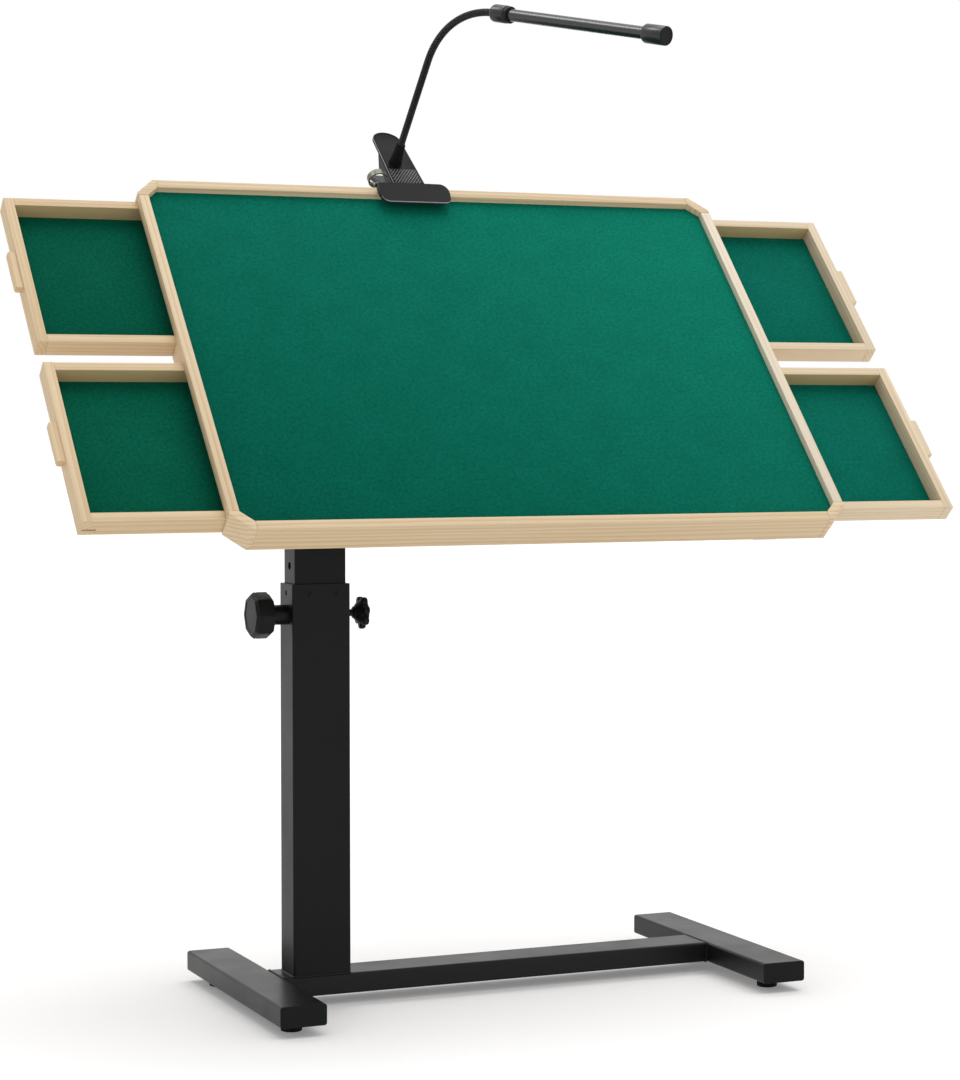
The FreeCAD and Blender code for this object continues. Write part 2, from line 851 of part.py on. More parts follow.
def make_flange(x0):
    """Side flange of the upper lever, with the ear that holds the hinge pin."""
    ear_radius = hinge_pin_diameter / 2 + ear_wall
    profile = [lever_point(0, flange_lip), lever_point(flange_run, flange_lip),
               lever_point(flange_run, clip_plate + flange_lip),
               (hinge_y + flange_heel_behind, hinge_z - flange_heel_below),
               (hinge_y + flange_ear_behind, hinge_z - flange_ear_below),
               (hinge_y + ear_radius, hinge_z - ear_radius), (hinge_y - ear_radius, hinge_z - ear_radius),
               (hinge_y - ear_radius, hinge_z + ear_rise)]
    return extrude_x(profile, x0, x0 + flange_thickness)


def plan_block(x, y, z, corners):
    """Upright block with its own radius at each of the named corners."""
    block = box(*x, *y, *z)
    for corner_x, corner_y, radius in corners:
        edges = []
        for edge in edges_along(block, V(0, 0, 1)):
            middle = edge.CenterOfMass
            if abs(middle.x - corner_x) < 1e-6 and abs(middle.y - corner_y) < 1e-6:
                edges.append(edge)
        block = block.makeFillet(radius, edges)
    return block


def make_clip_jaw():
    """Wide jaw over the lip, and the narrower heel that carries on from it into the lever."""
    nose = board_depth - jaw_reach
    crest = board_depth - jaw_back_slope
    heel = board_depth + lever_root_behind + jaw_heel_lap
    heel_bottom = -lever_root_below - clip_plate
    profile = [(nose, pad_thickness), (nose, pad_thickness + jaw_nose_height), (crest, jaw_height),
               (heel, -lever_root_below + jaw_heel_rise), (heel, heel_bottom),
               (board_depth + jaw_wall, pad_thickness)]
    left = clip_u - jaw_left
    right = clip_u + jaw_right
    corners = [(left, nose, jaw_nose_left_radius), (right, nose, jaw_nose_right_radius),
               (right, crest, jaw_back_right_radius)]
    plan = plan_block((left, right), (nose, crest), (0, jaw_height), corners)
    wide = extrude_x(profile, left, right).common(plan)
    heel_block = box(clip_u - ear_outer, clip_u + ear_outer, crest, heel, heel_bottom, jaw_height)
    return joined(wide, extrude_x(profile, left, right).common(heel_block))


def make_clip_upper():
    jaw = make_clip_jaw()
    lever = moved(lever_plate(), lever_place())
    left_flange = make_flange(clip_u - ear_outer)
    right_flange = make_flange(clip_u + ear_inner)
    relief_foot = V(0, 0, lever_surface_z() - clip_plate / 2 - relief_top)
    relief = taper(relief_root_diameter / 2, relief_top_diameter / 2, relief_foot, V(0, 0, 0))
    body = joined(jaw, lever, left_flange, right_flange, moved(relief, neck_place()))
    reach = ear_outer + 1
    pin_hole = rod_x(hinge_pin_diameter / 2 + hinge_fit, clip_u - reach, clip_u + reach, hinge_y, hinge_z)
    return body.cut(pin_hole).cut(neck_socket())


def make_upper_pad():
    x = (clip_u - jaw_left + pad_inset, clip_u + jaw_right - pad_inset)
    y1 = board_depth - pad_edge_inset
    y = (y1 - pad_depth, y1)
    return plan_block(x, y, (0, pad_thickness), [(x[0], y[0], jaw_nose_left_radius - pad_inset)])


def make_clip_pin():
    left = clip_u - ear_outer - spring_from_ear
    right = clip_u + ear_outer + hinge_overhang
    return rod_x(hinge_pin_diameter / 2, left, right, hinge_y, hinge_z)


def make_clip_spring():
    """Flat steel spring bent to a C beside the left ear; its lower leg runs under the pin."""
    leg_top = hinge_z - hinge_pin_diameter / 2 - hinge_fit
    centre_x = clip_u - ear_outer - spring_from_ear
    centre_z = leg_top - spring_thickness + spring_radius
    y0 = hinge_y - spring_width / 2
    y1 = hinge_y + spring_width / 2
    outer = rod_y(spring_radius, centre_x, y0, y1, centre_z)
    inner = rod_y(spring_radius - spring_thickness, centre_x, y0, y1, centre_z)
    band = outer.cut(inner)
    reach = spring_radius + 1
    opening = box(centre_x, centre_x + reach, y0, y1, centre_z - reach, centre_z + spring_mouth_rise)
    band = band.cut(opening)
    leg = box(centre_x, clip_u - ear_outer - spring_ear_gap, y0, y1, leg_top - spring_thickness, leg_top)
    return joined(band, leg)


def make_clip_lower():
    x0 = clip_u - ear_inner + clip_side_clearance
    x1 = clip_u + ear_inner - clip_side_clearance
    z_pad = -board_height - lower_gap - pad_thickness
    plate = clip_plate
    turn = math.radians(lower_lever_angle)
    lever_end_y = hinge_y + lower_lever_length * math.cos(turn)
    lever_end_z = hinge_z - lower_lever_length * math.sin(turn)
    heel_y = board_depth + lower_heel_reach
    nose_y = board_depth - lower_pad_depth - lower_jaw_lap
    cheek_y = heel_y - lower_cheek_width
    eye = hinge_pin_diameter / 2 + lower_eye_wall
    jaw = [(heel_y, z_pad), (heel_y, z_pad - plate), (nose_y, z_pad - plate), (nose_y, z_pad)]
    cheek = [(cheek_y, z_pad), (cheek_y, z_pad - plate), (hinge_y, hinge_z - lower_eye_depth),
             (hinge_y + eye, hinge_z - eye), (hinge_y + eye / 2, hinge_z + eye),
             (hinge_y - lower_eye_nose, hinge_z + eye / 2)]
    lever = [(hinge_y - eye / 2, hinge_z - eye), (lever_end_y, lever_end_z),
             (lever_end_y - lower_tip_cut, lever_end_z - plate),
             (hinge_y - lower_eye_back, hinge_z - lower_eye_depth - eye / 2)]
    wide = (clip_u - lower_jaw_width / 2, clip_u + lower_jaw_width / 2)
    body = joined(extrude_x(jaw, *wide), extrude_x(cheek, x0, x1), extrude_x(lever, x0, x1))
    pin_hole = rod_x(hinge_pin_diameter / 2 + hinge_fit, x0 - 1, x1 + 1, hinge_y, hinge_z)
    return body.cut(pin_hole)


def make_lower_pad():
    y1 = board_depth - pad_edge_inset
    z1 = -board_height - lower_gap
    half = lower_jaw_width / 2
    return box(clip_u - half, clip_u + half, y1 - lower_pad_depth, y1, z1 - pad_thickness, z1)


# ---- gooseneck and light: built in the neck's own frame, which leans back and is turned
# so that the neck rises along local Z and bends towards local X -----------------------
def neck_y():
    return board_depth + neck_from_lip


def neck_root_u():
    return clip_u + neck_root_shift


def lever_surface_z():
    run = neck_from_lip - lever_root_behind
    return -lever_root_below - run * math.tan(math.radians(lever_drop_angle))


def neck_place():
    """From the neck's own frame, origin at the top of the strain relief, to the board's."""
    lean = Rotation(V(1, 0, 0), -neck_back_lean)
    turn = Rotation(V(0, 0, 1), -neck_yaw)
    return Placement(V(neck_root_u(), neck_y(), relief_top), lean.multiply(turn))


def on_neck(shape):
    return on_board(moved(shape, neck_place()))


def neck_socket():
    radius = neck_diameter / 2 + socket_fit
    return moved(rod_z(radius, 0, 0, -socket_depth, 0), neck_place())


def neck_run(z0, z1):
    return rod_z(neck_diameter / 2, 0, 0, z0, z1)


def neck_ball(z, radius):
    return Part.makeSphere(radius, V(0, 0, z))


def neck_gap_ball(z):
    return neck_ball(z, neck_diameter / 2 + neck_joint_gap)


def make_neck_lower():
    return neck_run(-socket_depth, neck_joint_low).cut(neck_gap_ball(neck_joint_low))


def make_neck_middle():
    run = neck_run(neck_joint_low, neck_joint_high)
    body = joined(run, neck_ball(neck_joint_low, neck_diameter / 2))
    return body.cut(neck_gap_ball(neck_joint_high))


def bend_centre():
    return V(neck_bend_radius, 0, neck_straight)


def bend_end():
    turn = math.radians(neck_bend_turn)
    return bend_centre() + V(-math.cos(turn), 0, math.sin(turn)) * neck_bend_radius


def make_neck_upper():
    radius = neck_diameter / 2
    circle = Part.Face(Part.Wire(Part.makeCircle(radius, V(0, 0, neck_straight), V(0, 0, 1))))
    bend = circle.revolve(bend_centre(), V(0, 1, 0), neck_bend_turn)
    stem = moved(rod_x(radius, 0, neck_in_barrel, 0, 0), light_place())
    return joined(neck_run(neck_joint_high, neck_straight), neck_ball(neck_joint_high, radius), bend, stem)


def light_place():
    """Local X runs along the light bar from the end of the gooseneck, local Z away from the board."""
    return Placement(bend_end(), Rotation(V(0, 1, 0), neck_bend_turn - 90))


def on_light(shape):
    return on_neck(moved(shape, light_place()))


def disc(radius, x0, x1):
    return rod_x(radius, x0, x1, 0, 0)


def make_lamp_collar():
    body = disc(barrel_diameter / 2, 0, barrel_length)
    socket = disc(neck_diameter / 2 + socket_fit, 0, neck_in_barrel)
    pocket_radius = button_diameter / 2 + button_fit
    pocket_floor = barrel_diameter / 2 - button_pocket
    pocket = rod_y(pocket_radius, barrel_length / 2, pocket_floor, barrel_diameter / 2, 0)
    return body.cut(socket).cut(pocket)


def make_power_button():
    bottom = barrel_diameter / 2 - button_pocket + button_travel + button_floor_gap
    return rod_y(button_diameter / 2, barrel_length / 2, bottom, barrel_diameter / 2 + button_proud, 0)


def make_swivel_ring():
    ring = disc(ring_diameter / 2, barrel_length, barrel_length + ring_length)
    bore = disc(tube_diameter / 2 + tube_fit, barrel_length, barrel_length + ring_length)
    return ring.cut(bore)


def tube_start():
    return barrel_length + ring_length - tube_in_ring


def tube_end():
    return barrel_length + ring_length + tube_visible + light_cap_socket


def window_block(clearance):
    """Block that cuts the lamp window out of the tube, less a clearance all round."""
    half = window_width / 2 - clearance
    x0 = barrel_length + ring_length + window_end_margin + clearance
    x1 = tube_end() - light_cap_socket - window_end_margin - clearance
    return box(x0, x1, -half, half, -tube_diameter, 0)


def tube_shell():
    outer = disc(tube_diameter / 2, tube_start(), tube_end())
    return outer.cut(disc(tube_diameter / 2 - tube_wall, tube_start(), tube_end()))


def make_light_tube():
    return tube_shell().cut(window_block(0))


def make_diffuser():
    return tube_shell().common(window_block(window_fit))


def make_led_strip():
    half = led_width / 2
    inner_radius = tube_diameter / 2 - tube_wall
    level = math.sqrt(inner_radius ** 2 - half ** 2) - led_fit
    x = (tube_start() + led_inner_gap, tube_end() - led_outer_gap)
    return box(*x, -half, half, level - led_thickness, level)


def make_light_end_cap():
    x0 = barrel_length + ring_length + tube_visible
    x1 = x0 + light_cap_length
    cap = disc(light_cap_diameter / 2, x0, x1)
    cap = cap.makeChamfer(light_cap_chamfer, [edge for edge in cap.Edges if edge.Closed])
    socket = disc(tube_diameter / 2 + socket_fit, x0, x0 + light_cap_socket)
    port_x = x1 - port_from_end
    port_side = light_cap_diameter / 2
    port = box(port_x - port_width / 2, port_x + port_width / 2, port_side - port_depth, port_side,
               -port_height / 2, port_height / 2)
    return cap.cut(socket).cut(port)


# ---- all pieces ----------------------------------------------------------------------
def build():
    nodes = {}
    nodes["left_foot"] = make_foot(-foot_x)
    nodes["right_foot"] = make_foot(foot_x)
    nodes["crossbar"] = make_crossbar()
    nodes["foot_end_caps"] = group([make_end_cap(x, end) for x in (-foot_x, foot_x) for end in (-1, 1)])
    glide_y = foot_length / 2 - glide_inset
    nodes["glides"] = group([make_glide(x, y) for x in (-foot_x, foot_x) for y in (-glide_y, glide_y)])
    nodes["outer_column"] = make_outer_column()
    nodes["guide_bush"] = make_guide_bush()
    nodes["pin_collar"] = make_pin_collar()
    nodes["rivet_nut"] = make_rivet_nut()
    nodes["index_knob"] = make_index_knob()
    nodes["index_pin"] = make_index_pin()
    nodes["clamp_knob"] = make_clamp_knob()
    nodes["clamp_stud"] = make_clamp_stud()
    nodes["inner_column"] = make_inner_column()
    nodes["slider_bush"] = make_slider_bush()
    nodes["tilt_clamp"] = make_tilt_clamp()
    nodes["tilt_knob"] = make_tilt_knob()
    nodes["tilt_screw"] = make_tilt_screw()
    nodes["cross_tube"] = on_board(make_cross_tube())
    tube_caps = [make_cross_tube_cap(x, end) for x, end in zip(cross_tube_ends, (-1, 1))]
    nodes["cross_tube_caps"] = on_board(group(tube_caps))
    nodes["support_arms"] = on_board(group([make_support_arm(x) for x in arm_places]))
    nodes["arm_screws"] = on_board(make_arm_screws())
    nodes["drawer_ledgers"] = on_board(make_ledgers())
    nodes["front_rail"] = on_board(make_front_rail())
    nodes["rear_rail"] = on_board(make_rear_rail())
    nodes["side_strips"] = on_board(make_side_strips())
    nodes["corner_blocks"] = on_board(make_corner_blocks())
    nodes["mid_beam"] = on_board(make_mid_beam())
    nodes["centre_dividers"] = on_board(make_dividers())
    nodes["top_panel"] = on_board(make_panel())
    nodes["top_felt"] = on_board(make_felt())
    for row, bay_start in (("front", front_bay), ("rear", rear_bay)):
        for side_name, side in (("left", -1), ("right", 1)):
            nodes.update(make_drawer(row + "_" + side_name + "_drawer", bay_start, side))
    nodes["clip_upper"] = on_board(make_clip_upper())
    nodes["clip_upper_pad"] = on_board(make_upper_pad())
    nodes["clip_pin"] = on_board(make_clip_pin())
    nodes["clip_spring"] = on_board(make_clip_spring())
    nodes["clip_lower"] = on_board(make_clip_lower())
    nodes["clip_lower_pad"] = on_board(make_lower_pad())
    nodes["neck_lower"] = on_neck(make_neck_lower())
    nodes["neck_middle"] = on_neck(make_neck_middle())
    nodes["neck_upper"] = on_neck(make_neck_upper())
    nodes["lamp_collar"] = on_light(make_lamp_collar())
    nodes["power_button"] = on_light(make_power_button())
    nodes["swivel_ring"] = on_light(make_swivel_ring())
    nodes["light_tube"] = on_light(make_light_tube())
    nodes["light_diffuser"] = on_light(make_diffuser())
    nodes["led_strip"] = on_light(make_led_strip())
    nodes["light_end_cap"] = on_light(make_light_end_cap())
    return nodes


def centre_step(nodes):
    """Move in Y that brings the middle of the bounding box over the origin."""
    whole = Part.makeCompound(list(nodes.values())).optimalBoundingBox(False, False)
    return V(0, -(whole.YMin + whole.YMax) / 2, 0)


all_nodes = build()
step = centre_step(all_nodes)
os.makedirs("parts", exist_ok=True)
for node_name, node_shape in all_nodes.items():
    moved(node_shape, Placement(step, Rotation())).exportStep("parts/" + node_name + ".step")
print("nodes", len(all_nodes), "step in Y", round(step.y, 3))
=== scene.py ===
import math

import bmesh
import bpy
from mathutils import Matrix, Vector


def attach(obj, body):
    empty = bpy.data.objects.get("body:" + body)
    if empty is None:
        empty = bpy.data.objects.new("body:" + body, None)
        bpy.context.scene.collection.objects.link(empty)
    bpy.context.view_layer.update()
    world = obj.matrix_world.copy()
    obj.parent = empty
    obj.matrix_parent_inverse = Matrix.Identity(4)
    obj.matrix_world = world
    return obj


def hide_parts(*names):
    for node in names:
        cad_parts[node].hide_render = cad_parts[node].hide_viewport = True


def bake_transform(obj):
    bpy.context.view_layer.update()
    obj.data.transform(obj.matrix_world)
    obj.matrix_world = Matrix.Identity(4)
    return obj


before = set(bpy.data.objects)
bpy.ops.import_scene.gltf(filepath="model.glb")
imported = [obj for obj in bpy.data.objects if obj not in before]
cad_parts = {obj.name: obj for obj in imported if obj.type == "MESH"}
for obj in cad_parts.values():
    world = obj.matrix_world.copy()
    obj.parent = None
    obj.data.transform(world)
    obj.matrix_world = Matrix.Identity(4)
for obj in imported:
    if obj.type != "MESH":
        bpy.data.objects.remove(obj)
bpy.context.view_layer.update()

# ---- Camera, floor and light ---------------------------------------------------------
# The camera stands in front, a little to the left, at about the height of the board's
# middle. The floor is a white studio floor that keeps soft shadows, under one broad lamp
# and an even white room. A second lamp, behind on the left, is seen in the gloss alone.
camera_data = bpy.data.cameras.new("table_camera")
camera_data.lens = 91.404
camera = bpy.data.objects.new("table_camera", camera_data)
bpy.context.scene.collection.objects.link(camera)
camera.location = (-1.2940, -3.0019, 0.6852)
camera.rotation_euler = (math.radians(87.31), 0, math.radians(-23.21))
bpy.context.scene.camera = camera
bpy.context.scene.view_settings.view_transform = "Standard"

floor_size = 80
room_light = 0.62
floor_glow = 0.17
floor_shade = 0.86


def combined(nodes, links, operation, first, second):
    """One sum of two values, each of them a socket or a number."""
    result = nodes.new("ShaderNodeMath")
    result.operation = operation
    for socket, value in zip(result.inputs, (first, second)):
        if isinstance(value, float):
            socket.default_value = value
        else:
            links.new(value, socket)
    return result.outputs[0]


def between(nodes, links, share, low, high, start=0.3, end=0.7):
    """A number that runs from low to high as share runs from start to end.

    Most of a noise lies between 0.3 and 0.7.
    """
    spread = nodes.new("ShaderNodeMapRange")
    limits = {"From Min": start, "From Max": end, "To Min": low, "To Max": high}
    for name, value in limits.items():
        spread.inputs[name].default_value = value
    links.new(share, spread.inputs["Value"])
    return spread.outputs["Result"]


def seen_directly(nodes, links):
    """1 for what the camera, a gloss or a clear part sees, 0 for the light itself."""
    rays = nodes.new("ShaderNodeLightPath").outputs
    either = combined(nodes, links, "MAXIMUM", rays["Is Camera Ray"], rays["Is Glossy Ray"])
    return combined(nodes, links, "MAXIMUM", either, rays["Is Transmission Ray"])


def add_sun(name, energy, spread, turn):
    light = bpy.data.lights.new(name, "SUN")
    light.energy = energy
    light.angle = math.radians(spread)
    sun = bpy.data.objects.new(name, light)
    bpy.context.scene.collection.objects.link(sun)
    sun.rotation_euler = turn
    return sun


room = bpy.data.worlds.new("white_room")
bpy.context.scene.world = room
room.use_nodes = True
room_nodes, room_links = room.node_tree.nodes, room.node_tree.links
room_seen = seen_directly(room_nodes, room_links)
room_level = between(room_nodes, room_links, room_seen, room_light, 1.0, 0.0, 1.0)
room_links.new(room_level, room_nodes["Background"].inputs["Strength"])
room_nodes["Background"].inputs["Color"].default_value = (1, 1, 1, 1)

bpy.ops.object.select_all(action="DESELECT")
bpy.ops.mesh.primitive_plane_add(size=floor_size)
studio_floor = bpy.context.object
studio_floor.name = "studio_floor"
floor_paint = bpy.data.materials.new("floor_paint")
floor_paint.use_nodes = True
floor_nodes, floor_links = floor_paint.node_tree.nodes, floor_paint.node_tree.links
floor_nodes.remove(floor_nodes["Principled BSDF"])
floor_matt = floor_nodes.new("ShaderNodeBsdfDiffuse")
floor_matt.inputs["Color"].default_value = (floor_shade, floor_shade, floor_shade, 1)
floor_light = floor_nodes.new("ShaderNodeEmission")
floor_seen = seen_directly(floor_nodes, floor_links)
floor_share = combined(floor_nodes, floor_links, "MULTIPLY", floor_seen, floor_glow)
floor_links.new(floor_share, floor_light.inputs["Strength"])
floor_sum = floor_nodes.new("ShaderNodeAddShader")
floor_links.new(floor_matt.outputs[0], floor_sum.inputs[0])
floor_links.new(floor_light.outputs[0], floor_sum.inputs[1])
floor_links.new(floor_sum.outputs[0], floor_nodes["Material Output"].inputs["Surface"])
studio_floor.data.materials.append(floor_paint)

add_sun("broad_lamp", 1.75, 55, (math.radians(-7), math.radians(9), 0))
from_back_left = Vector((-0.51, 0.37, 0.775)).to_track_quat("Z", "Y").to_euler()
edge_lamp = add_sun("edge_lamp", 0.8, 20, from_back_left)
edge_lamp.visible_diffuse = False

# ---- Base tubes and column -----------------------------------------------------------
# Two feet and a crossbar of flat steel tube, welded, with a telescopic column of the same
# stock. All of it has a satin black powder coat with a very fine orange peel.
mm = 0.001


def new_finish(name):
    finish = bpy.data.materials.new(name)
    finish.use_nodes = True
    tree = finish.node_tree
    return finish, tree.nodes, tree.links, tree.nodes["Principled BSDF"]


def noise(nodes, links, vector, scale, detail=2.0, rough=0.5):
    texture = nodes.new("ShaderNodeTexNoise")
    texture.inputs["Scale"].default_value = scale
    texture.inputs["Detail"].default_value = detail
    texture.inputs["Roughness"].default_value = rough
    links.new(vector, texture.inputs["Vector"])
    return texture.outputs["Fac"]


def blended(nodes, links, share, first, second):
    mix = nodes.new("ShaderNodeMix")
    mix.data_type = "RGBA"
    for socket, value in ((mix.inputs[6], first), (mix.inputs[7], second)):
        if isinstance(value, tuple):
            socket.default_value = (*value, 1)
        else:
            links.new(value, socket)
    links.new(share, mix.inputs[0])
    return mix.outputs[2]


def raised(nodes, links, shader, height, depth, strength=1.0):
    bump = nodes.new("ShaderNodeBump")
    bump.inputs["Distance"].default_value = depth
    bump.inputs["Strength"].default_value = strength
    links.new(height, bump.inputs["Height"])
    links.new(bump.outputs["Normal"], shader.inputs["Normal"])


def coated(name, dark, light, gloss, peel_size, peel_depth, specular=0.35):
    """A painted or moulded surface: slight clouding, uneven gloss and a fine skin."""
    finish, nodes, links, shader = new_finish(name)
    where = nodes.new("ShaderNodeTexCoord").outputs["Object"]
    cloud = noise(nodes, links, where, 18, 3)
    speck = noise(nodes, links, where, peel_size, 3, 0.6)
    shade = between(nodes, links, cloud, 0.2, 0.6)
    links.new(blended(nodes, links, shade, dark, light), shader.inputs["Base Color"])
    links.new(between(nodes, links, cloud, *gloss), shader.inputs["Roughness"])
    shader.inputs["Specular IOR Level"].default_value = specular
    raised(nodes, links, shader, speck, peel_depth, 0.5)
    return finish


def dress(finish, *nodes):
    for name in nodes:
        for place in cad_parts[name].material_slots:
            place.material = finish


powder_coat = coated(
    "satin_powder_coat", (0.0050, 0.0054, 0.0054), (0.0095, 0.0100, 0.0100), (0.30, 0.38),
    1400, 0.00005, 0.2,
)
moulded_black = coated(
    "moulded_black_plastic", (0.0060, 0.0064, 0.0064), (0.0105, 0.0110, 0.0110), (0.38, 0.48),
    2200, 0.00003, 0.12,
)
column_coat = coated(
    "satin_column_coat", (0.0050, 0.0054, 0.0054), (0.0095, 0.0100, 0.0100), (0.32, 0.40),
    1400, 0.00005, 0.13,
)
dress(powder_coat, "left_foot", "right_foot", "crossbar")
dress(column_coat, "outer_column", "inner_column")
dress(moulded_black, "guide_bush", "slider_bush", "foot_end_caps")


# ---- Weld beads ----------------------------------------------------------------------
# The welder's narrow fillet runs round each joint of the base: crossbar to foot twice, and
# column to crossbar. It was laid before the coat, so it is black too, with slow ripples.
bead_radius = 1.1
bead_corner = 3
ripple, ripple_turn = 0.04, 0.9


def only(piece):
    bpy.ops.object.select_all(action="DESELECT")
    piece.select_set(True)
    bpy.context.view_layer.objects.active = piece


def settle(piece):
    """Puts the piece's place into its mesh and leaves the object at the origin."""
    bpy.context.view_layer.update()
    piece.data.transform(piece.matrix_world)
    piece.matrix_world = Matrix.Identity(4)


def smooth(piece, angle=32):
    only(piece)
    bpy.ops.object.shade_smooth_by_angle(angle=math.radians(angle))


def hand_over(piece, body, nodes=()):
    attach(piece, body)
    if nodes:
        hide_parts(*nodes)


def paint(piece, *finishes):
    piece.data.materials.clear()
    for finish in finishes:
        piece.data.materials.append(finish)


def weld(name, across, along, turn, middle):
    bpy.ops.object.select_all(action="DESELECT")
    bpy.ops.mesh.primitive_plane_add(size=1)
    bead = bpy.context.object
    bead.name = name
    bead.scale = (across * mm, along * mm, 1)
    settle(bead)
    bpy.ops.object.mode_set(mode="EDIT")
    bpy.ops.mesh.select_all(action="SELECT")
    bpy.ops.mesh.bevel(offset=bead_corner * mm, segments=4, affect="VERTICES")
    bpy.ops.mesh.delete(type="ONLY_FACE")
    bpy.ops.mesh.select_all(action="SELECT")
    bpy.ops.mesh.subdivide(number_cuts=12)
    bpy.ops.object.mode_set(mode="OBJECT")
    bpy.ops.object.convert(target="CURVE")
    bead = bpy.context.object
    bead.data.bevel_depth = bead_radius * mm
    bead.data.bevel_resolution = 2
    bpy.ops.object.convert(target="MESH")
    bead = bpy.context.object
    for index, point in enumerate(bead.data.vertices):
        point.co.z *= 1 + ripple * math.sin(index * ripple_turn)
    bead.matrix_world = Matrix.Translation(Vector(middle) * mm) @ turn
    settle(bead)
    smooth(bead, 60)
    paint(bead, powder_coat)
    hand_over(bead, "base")


base_y = -23.765
column_x, column_y = -226, base_y - 5
foot_side, tube_middle, tube_top = 272.8, 24, 36.2
upended = Matrix.Rotation(math.radians(90), 4, "Y")
for side, tag in ((-1, "left"), (1, "right")):
    weld("weld_" + tag, 24, 56, upended, (side * foot_side, base_y, tube_middle))
weld("weld_column", 70, 46, Matrix.Identity(4), (column_x, column_y, tube_top))


# ---- End caps and glides -------------------------------------------------------------
# A moulded plug closes each end of both feet, with a flat face and a fine seam where its
# rim was parted. Under each end a turned rubber glide is screwed in, with a groove round it.
def block(name, u, v, w):
    bpy.ops.object.select_all(action="DESELECT")
    bpy.ops.mesh.primitive_cube_add(size=1)
    piece = bpy.context.object
    piece.name = name
    piece.scale = [(b - a) * mm for a, b in (u, v, w)]
    piece.location = [(a + b) / 2 * mm for a, b in (u, v, w)]
    settle(piece)
    return piece


def pick(piece, kind, test):
    """Selects, in edit mode, the faces, edges or vertices that pass the test."""
    bpy.ops.mesh.select_mode(type=kind)
    bpy.ops.mesh.select_all(action="DESELECT")
    shape = bmesh.from_edit_mesh(piece.data)
    items = {"VERT": shape.verts, "EDGE": shape.edges, "FACE": shape.faces}[kind]
    for item in items:
        if test(item):
            item.select_set(True)
    shape.select_flush_mode()
    bmesh.update_edit_mesh(piece.data)


def ease(piece, width, segments=2, angle=30):
    """Rounds the sharp edges."""
    only(piece)
    bevel = piece.modifiers.new("ease", "BEVEL")
    bevel.width = width * mm
    bevel.segments = segments
    bevel.limit_method = "ANGLE"
    bevel.angle_limit = math.radians(angle)
    bpy.ops.object.modifier_apply(modifier=bevel.name)
    smooth(piece)


def stack(name, rings, place=None):
    """A closed piece through rings of equal count: each ring is a list of (x, y, z)."""
    count = len(rings[0])
    bpy.ops.object.select_all(action="DESELECT")
    bpy.ops.mesh.primitive_circle_add(vertices=count, radius=1, fill_type="NGON")
    piece = bpy.context.object
    piece.name = name
    for point, (x, y, z) in zip(piece.data.vertices, rings[0]):
        point.co = Vector((x, y, z)) * mm
    bpy.ops.object.mode_set(mode="EDIT")
    bpy.ops.mesh.select_mode(type="FACE")
    bpy.ops.mesh.select_all(action="SELECT")
    before = [Vector(p) * mm for p in rings[0]]
    for ring in rings[1:]:
        bpy.ops.mesh.extrude_region_move(TRANSFORM_OT_translate={"value": (0, 0, 0)})
        shape = bmesh.from_edit_mesh(piece.data)
        lifted = [v for v in shape.verts if v.select]
        after = [Vector(p) * mm for p in ring]
        for vertex in lifted:
            nearest = min(range(count), key=lambda i: (before[i] - vertex.co).length_squared)
            vertex.co = after[nearest]
        bmesh.update_edit_mesh(piece.data)
        before = after
    bpy.ops.mesh.select_all(action="SELECT")
    bpy.ops.mesh.normals_make_consistent(inside=False)
    bpy.ops.object.mode_set(mode="OBJECT")
    if place is not None:
        piece.data.transform(place)
    return piece


def round_ring(radius, z, count=48):
    turn = 2 * math.pi / count
    return [(radius * math.cos(i * turn), radius * math.sin(i * turn), z) for i in range(count)]


def turned(name, profile, place=None, count=48):
    """A turned piece from (radius, height) pairs, along +Z."""
    return stack(name, [round_ring(r, z, count) for r, z in profile], place)


def copy_of(piece, name, place):
    twin = piece.copy()
    twin.data = piece.data.copy()
    twin.name = name
    bpy.context.scene.collection.objects.link(twin)
    twin.data.transform(place)
    return twin


def join(name, pieces):
    bpy.ops.object.select_all(action="DESELECT")
    for piece in pieces:
        piece.select_set(True)
    bpy.context.view_layer.objects.active = pieces[0]
    bpy.ops.object.join()
    whole = bpy.context.object
    whole.name = name
    return whole


foot_span = 300
cap_face = 172
cap_depth = 2
glide_reach = 130
tube_half, tube_low = 27, 12
cap = block("end_cap", (-tube_half, tube_half), (-cap_depth, 0), (tube_low, 36))
bpy.ops.object.mode_set(mode="EDIT")
pick(cap, "EDGE", lambda e: abs(e.verts[0].co.y - e.verts[1].co.y) > 1 * mm)
bpy.ops.mesh.bevel(offset=3 * mm, segments=4, affect="EDGES")
pick(cap, "FACE", lambda f: f.normal.y < -0.9)
bpy.ops.mesh.bevel(offset=0.6 * mm, segments=2, affect="EDGES")
pick(cap, "FACE", lambda f: f.normal.y < -0.99)
bpy.ops.mesh.inset(thickness=1.0 * mm)
bpy.ops.mesh.inset(thickness=0.25 * mm, depth=-0.2 * mm)
bpy.ops.object.mode_set(mode="OBJECT")
smooth(cap, 30)
caps = []
for side in (-1, 1):
    front = Matrix.Translation(Vector((side * foot_span, base_y - cap_face + cap_depth, 0)) * mm)
    back = Matrix.Translation(Vector((side * foot_span, base_y + cap_face - cap_depth, 0)) * mm)
    caps.append(copy_of(cap, "cap_front", front))
    caps.append(copy_of(cap, "cap_back", back @ Matrix.Rotation(math.pi, 4, "Z")))
bpy.data.objects.remove(cap)
foot_caps = join("foot_caps", caps)
paint(foot_caps, moulded_black)
hand_over(foot_caps, "base", ("foot_end_caps",))

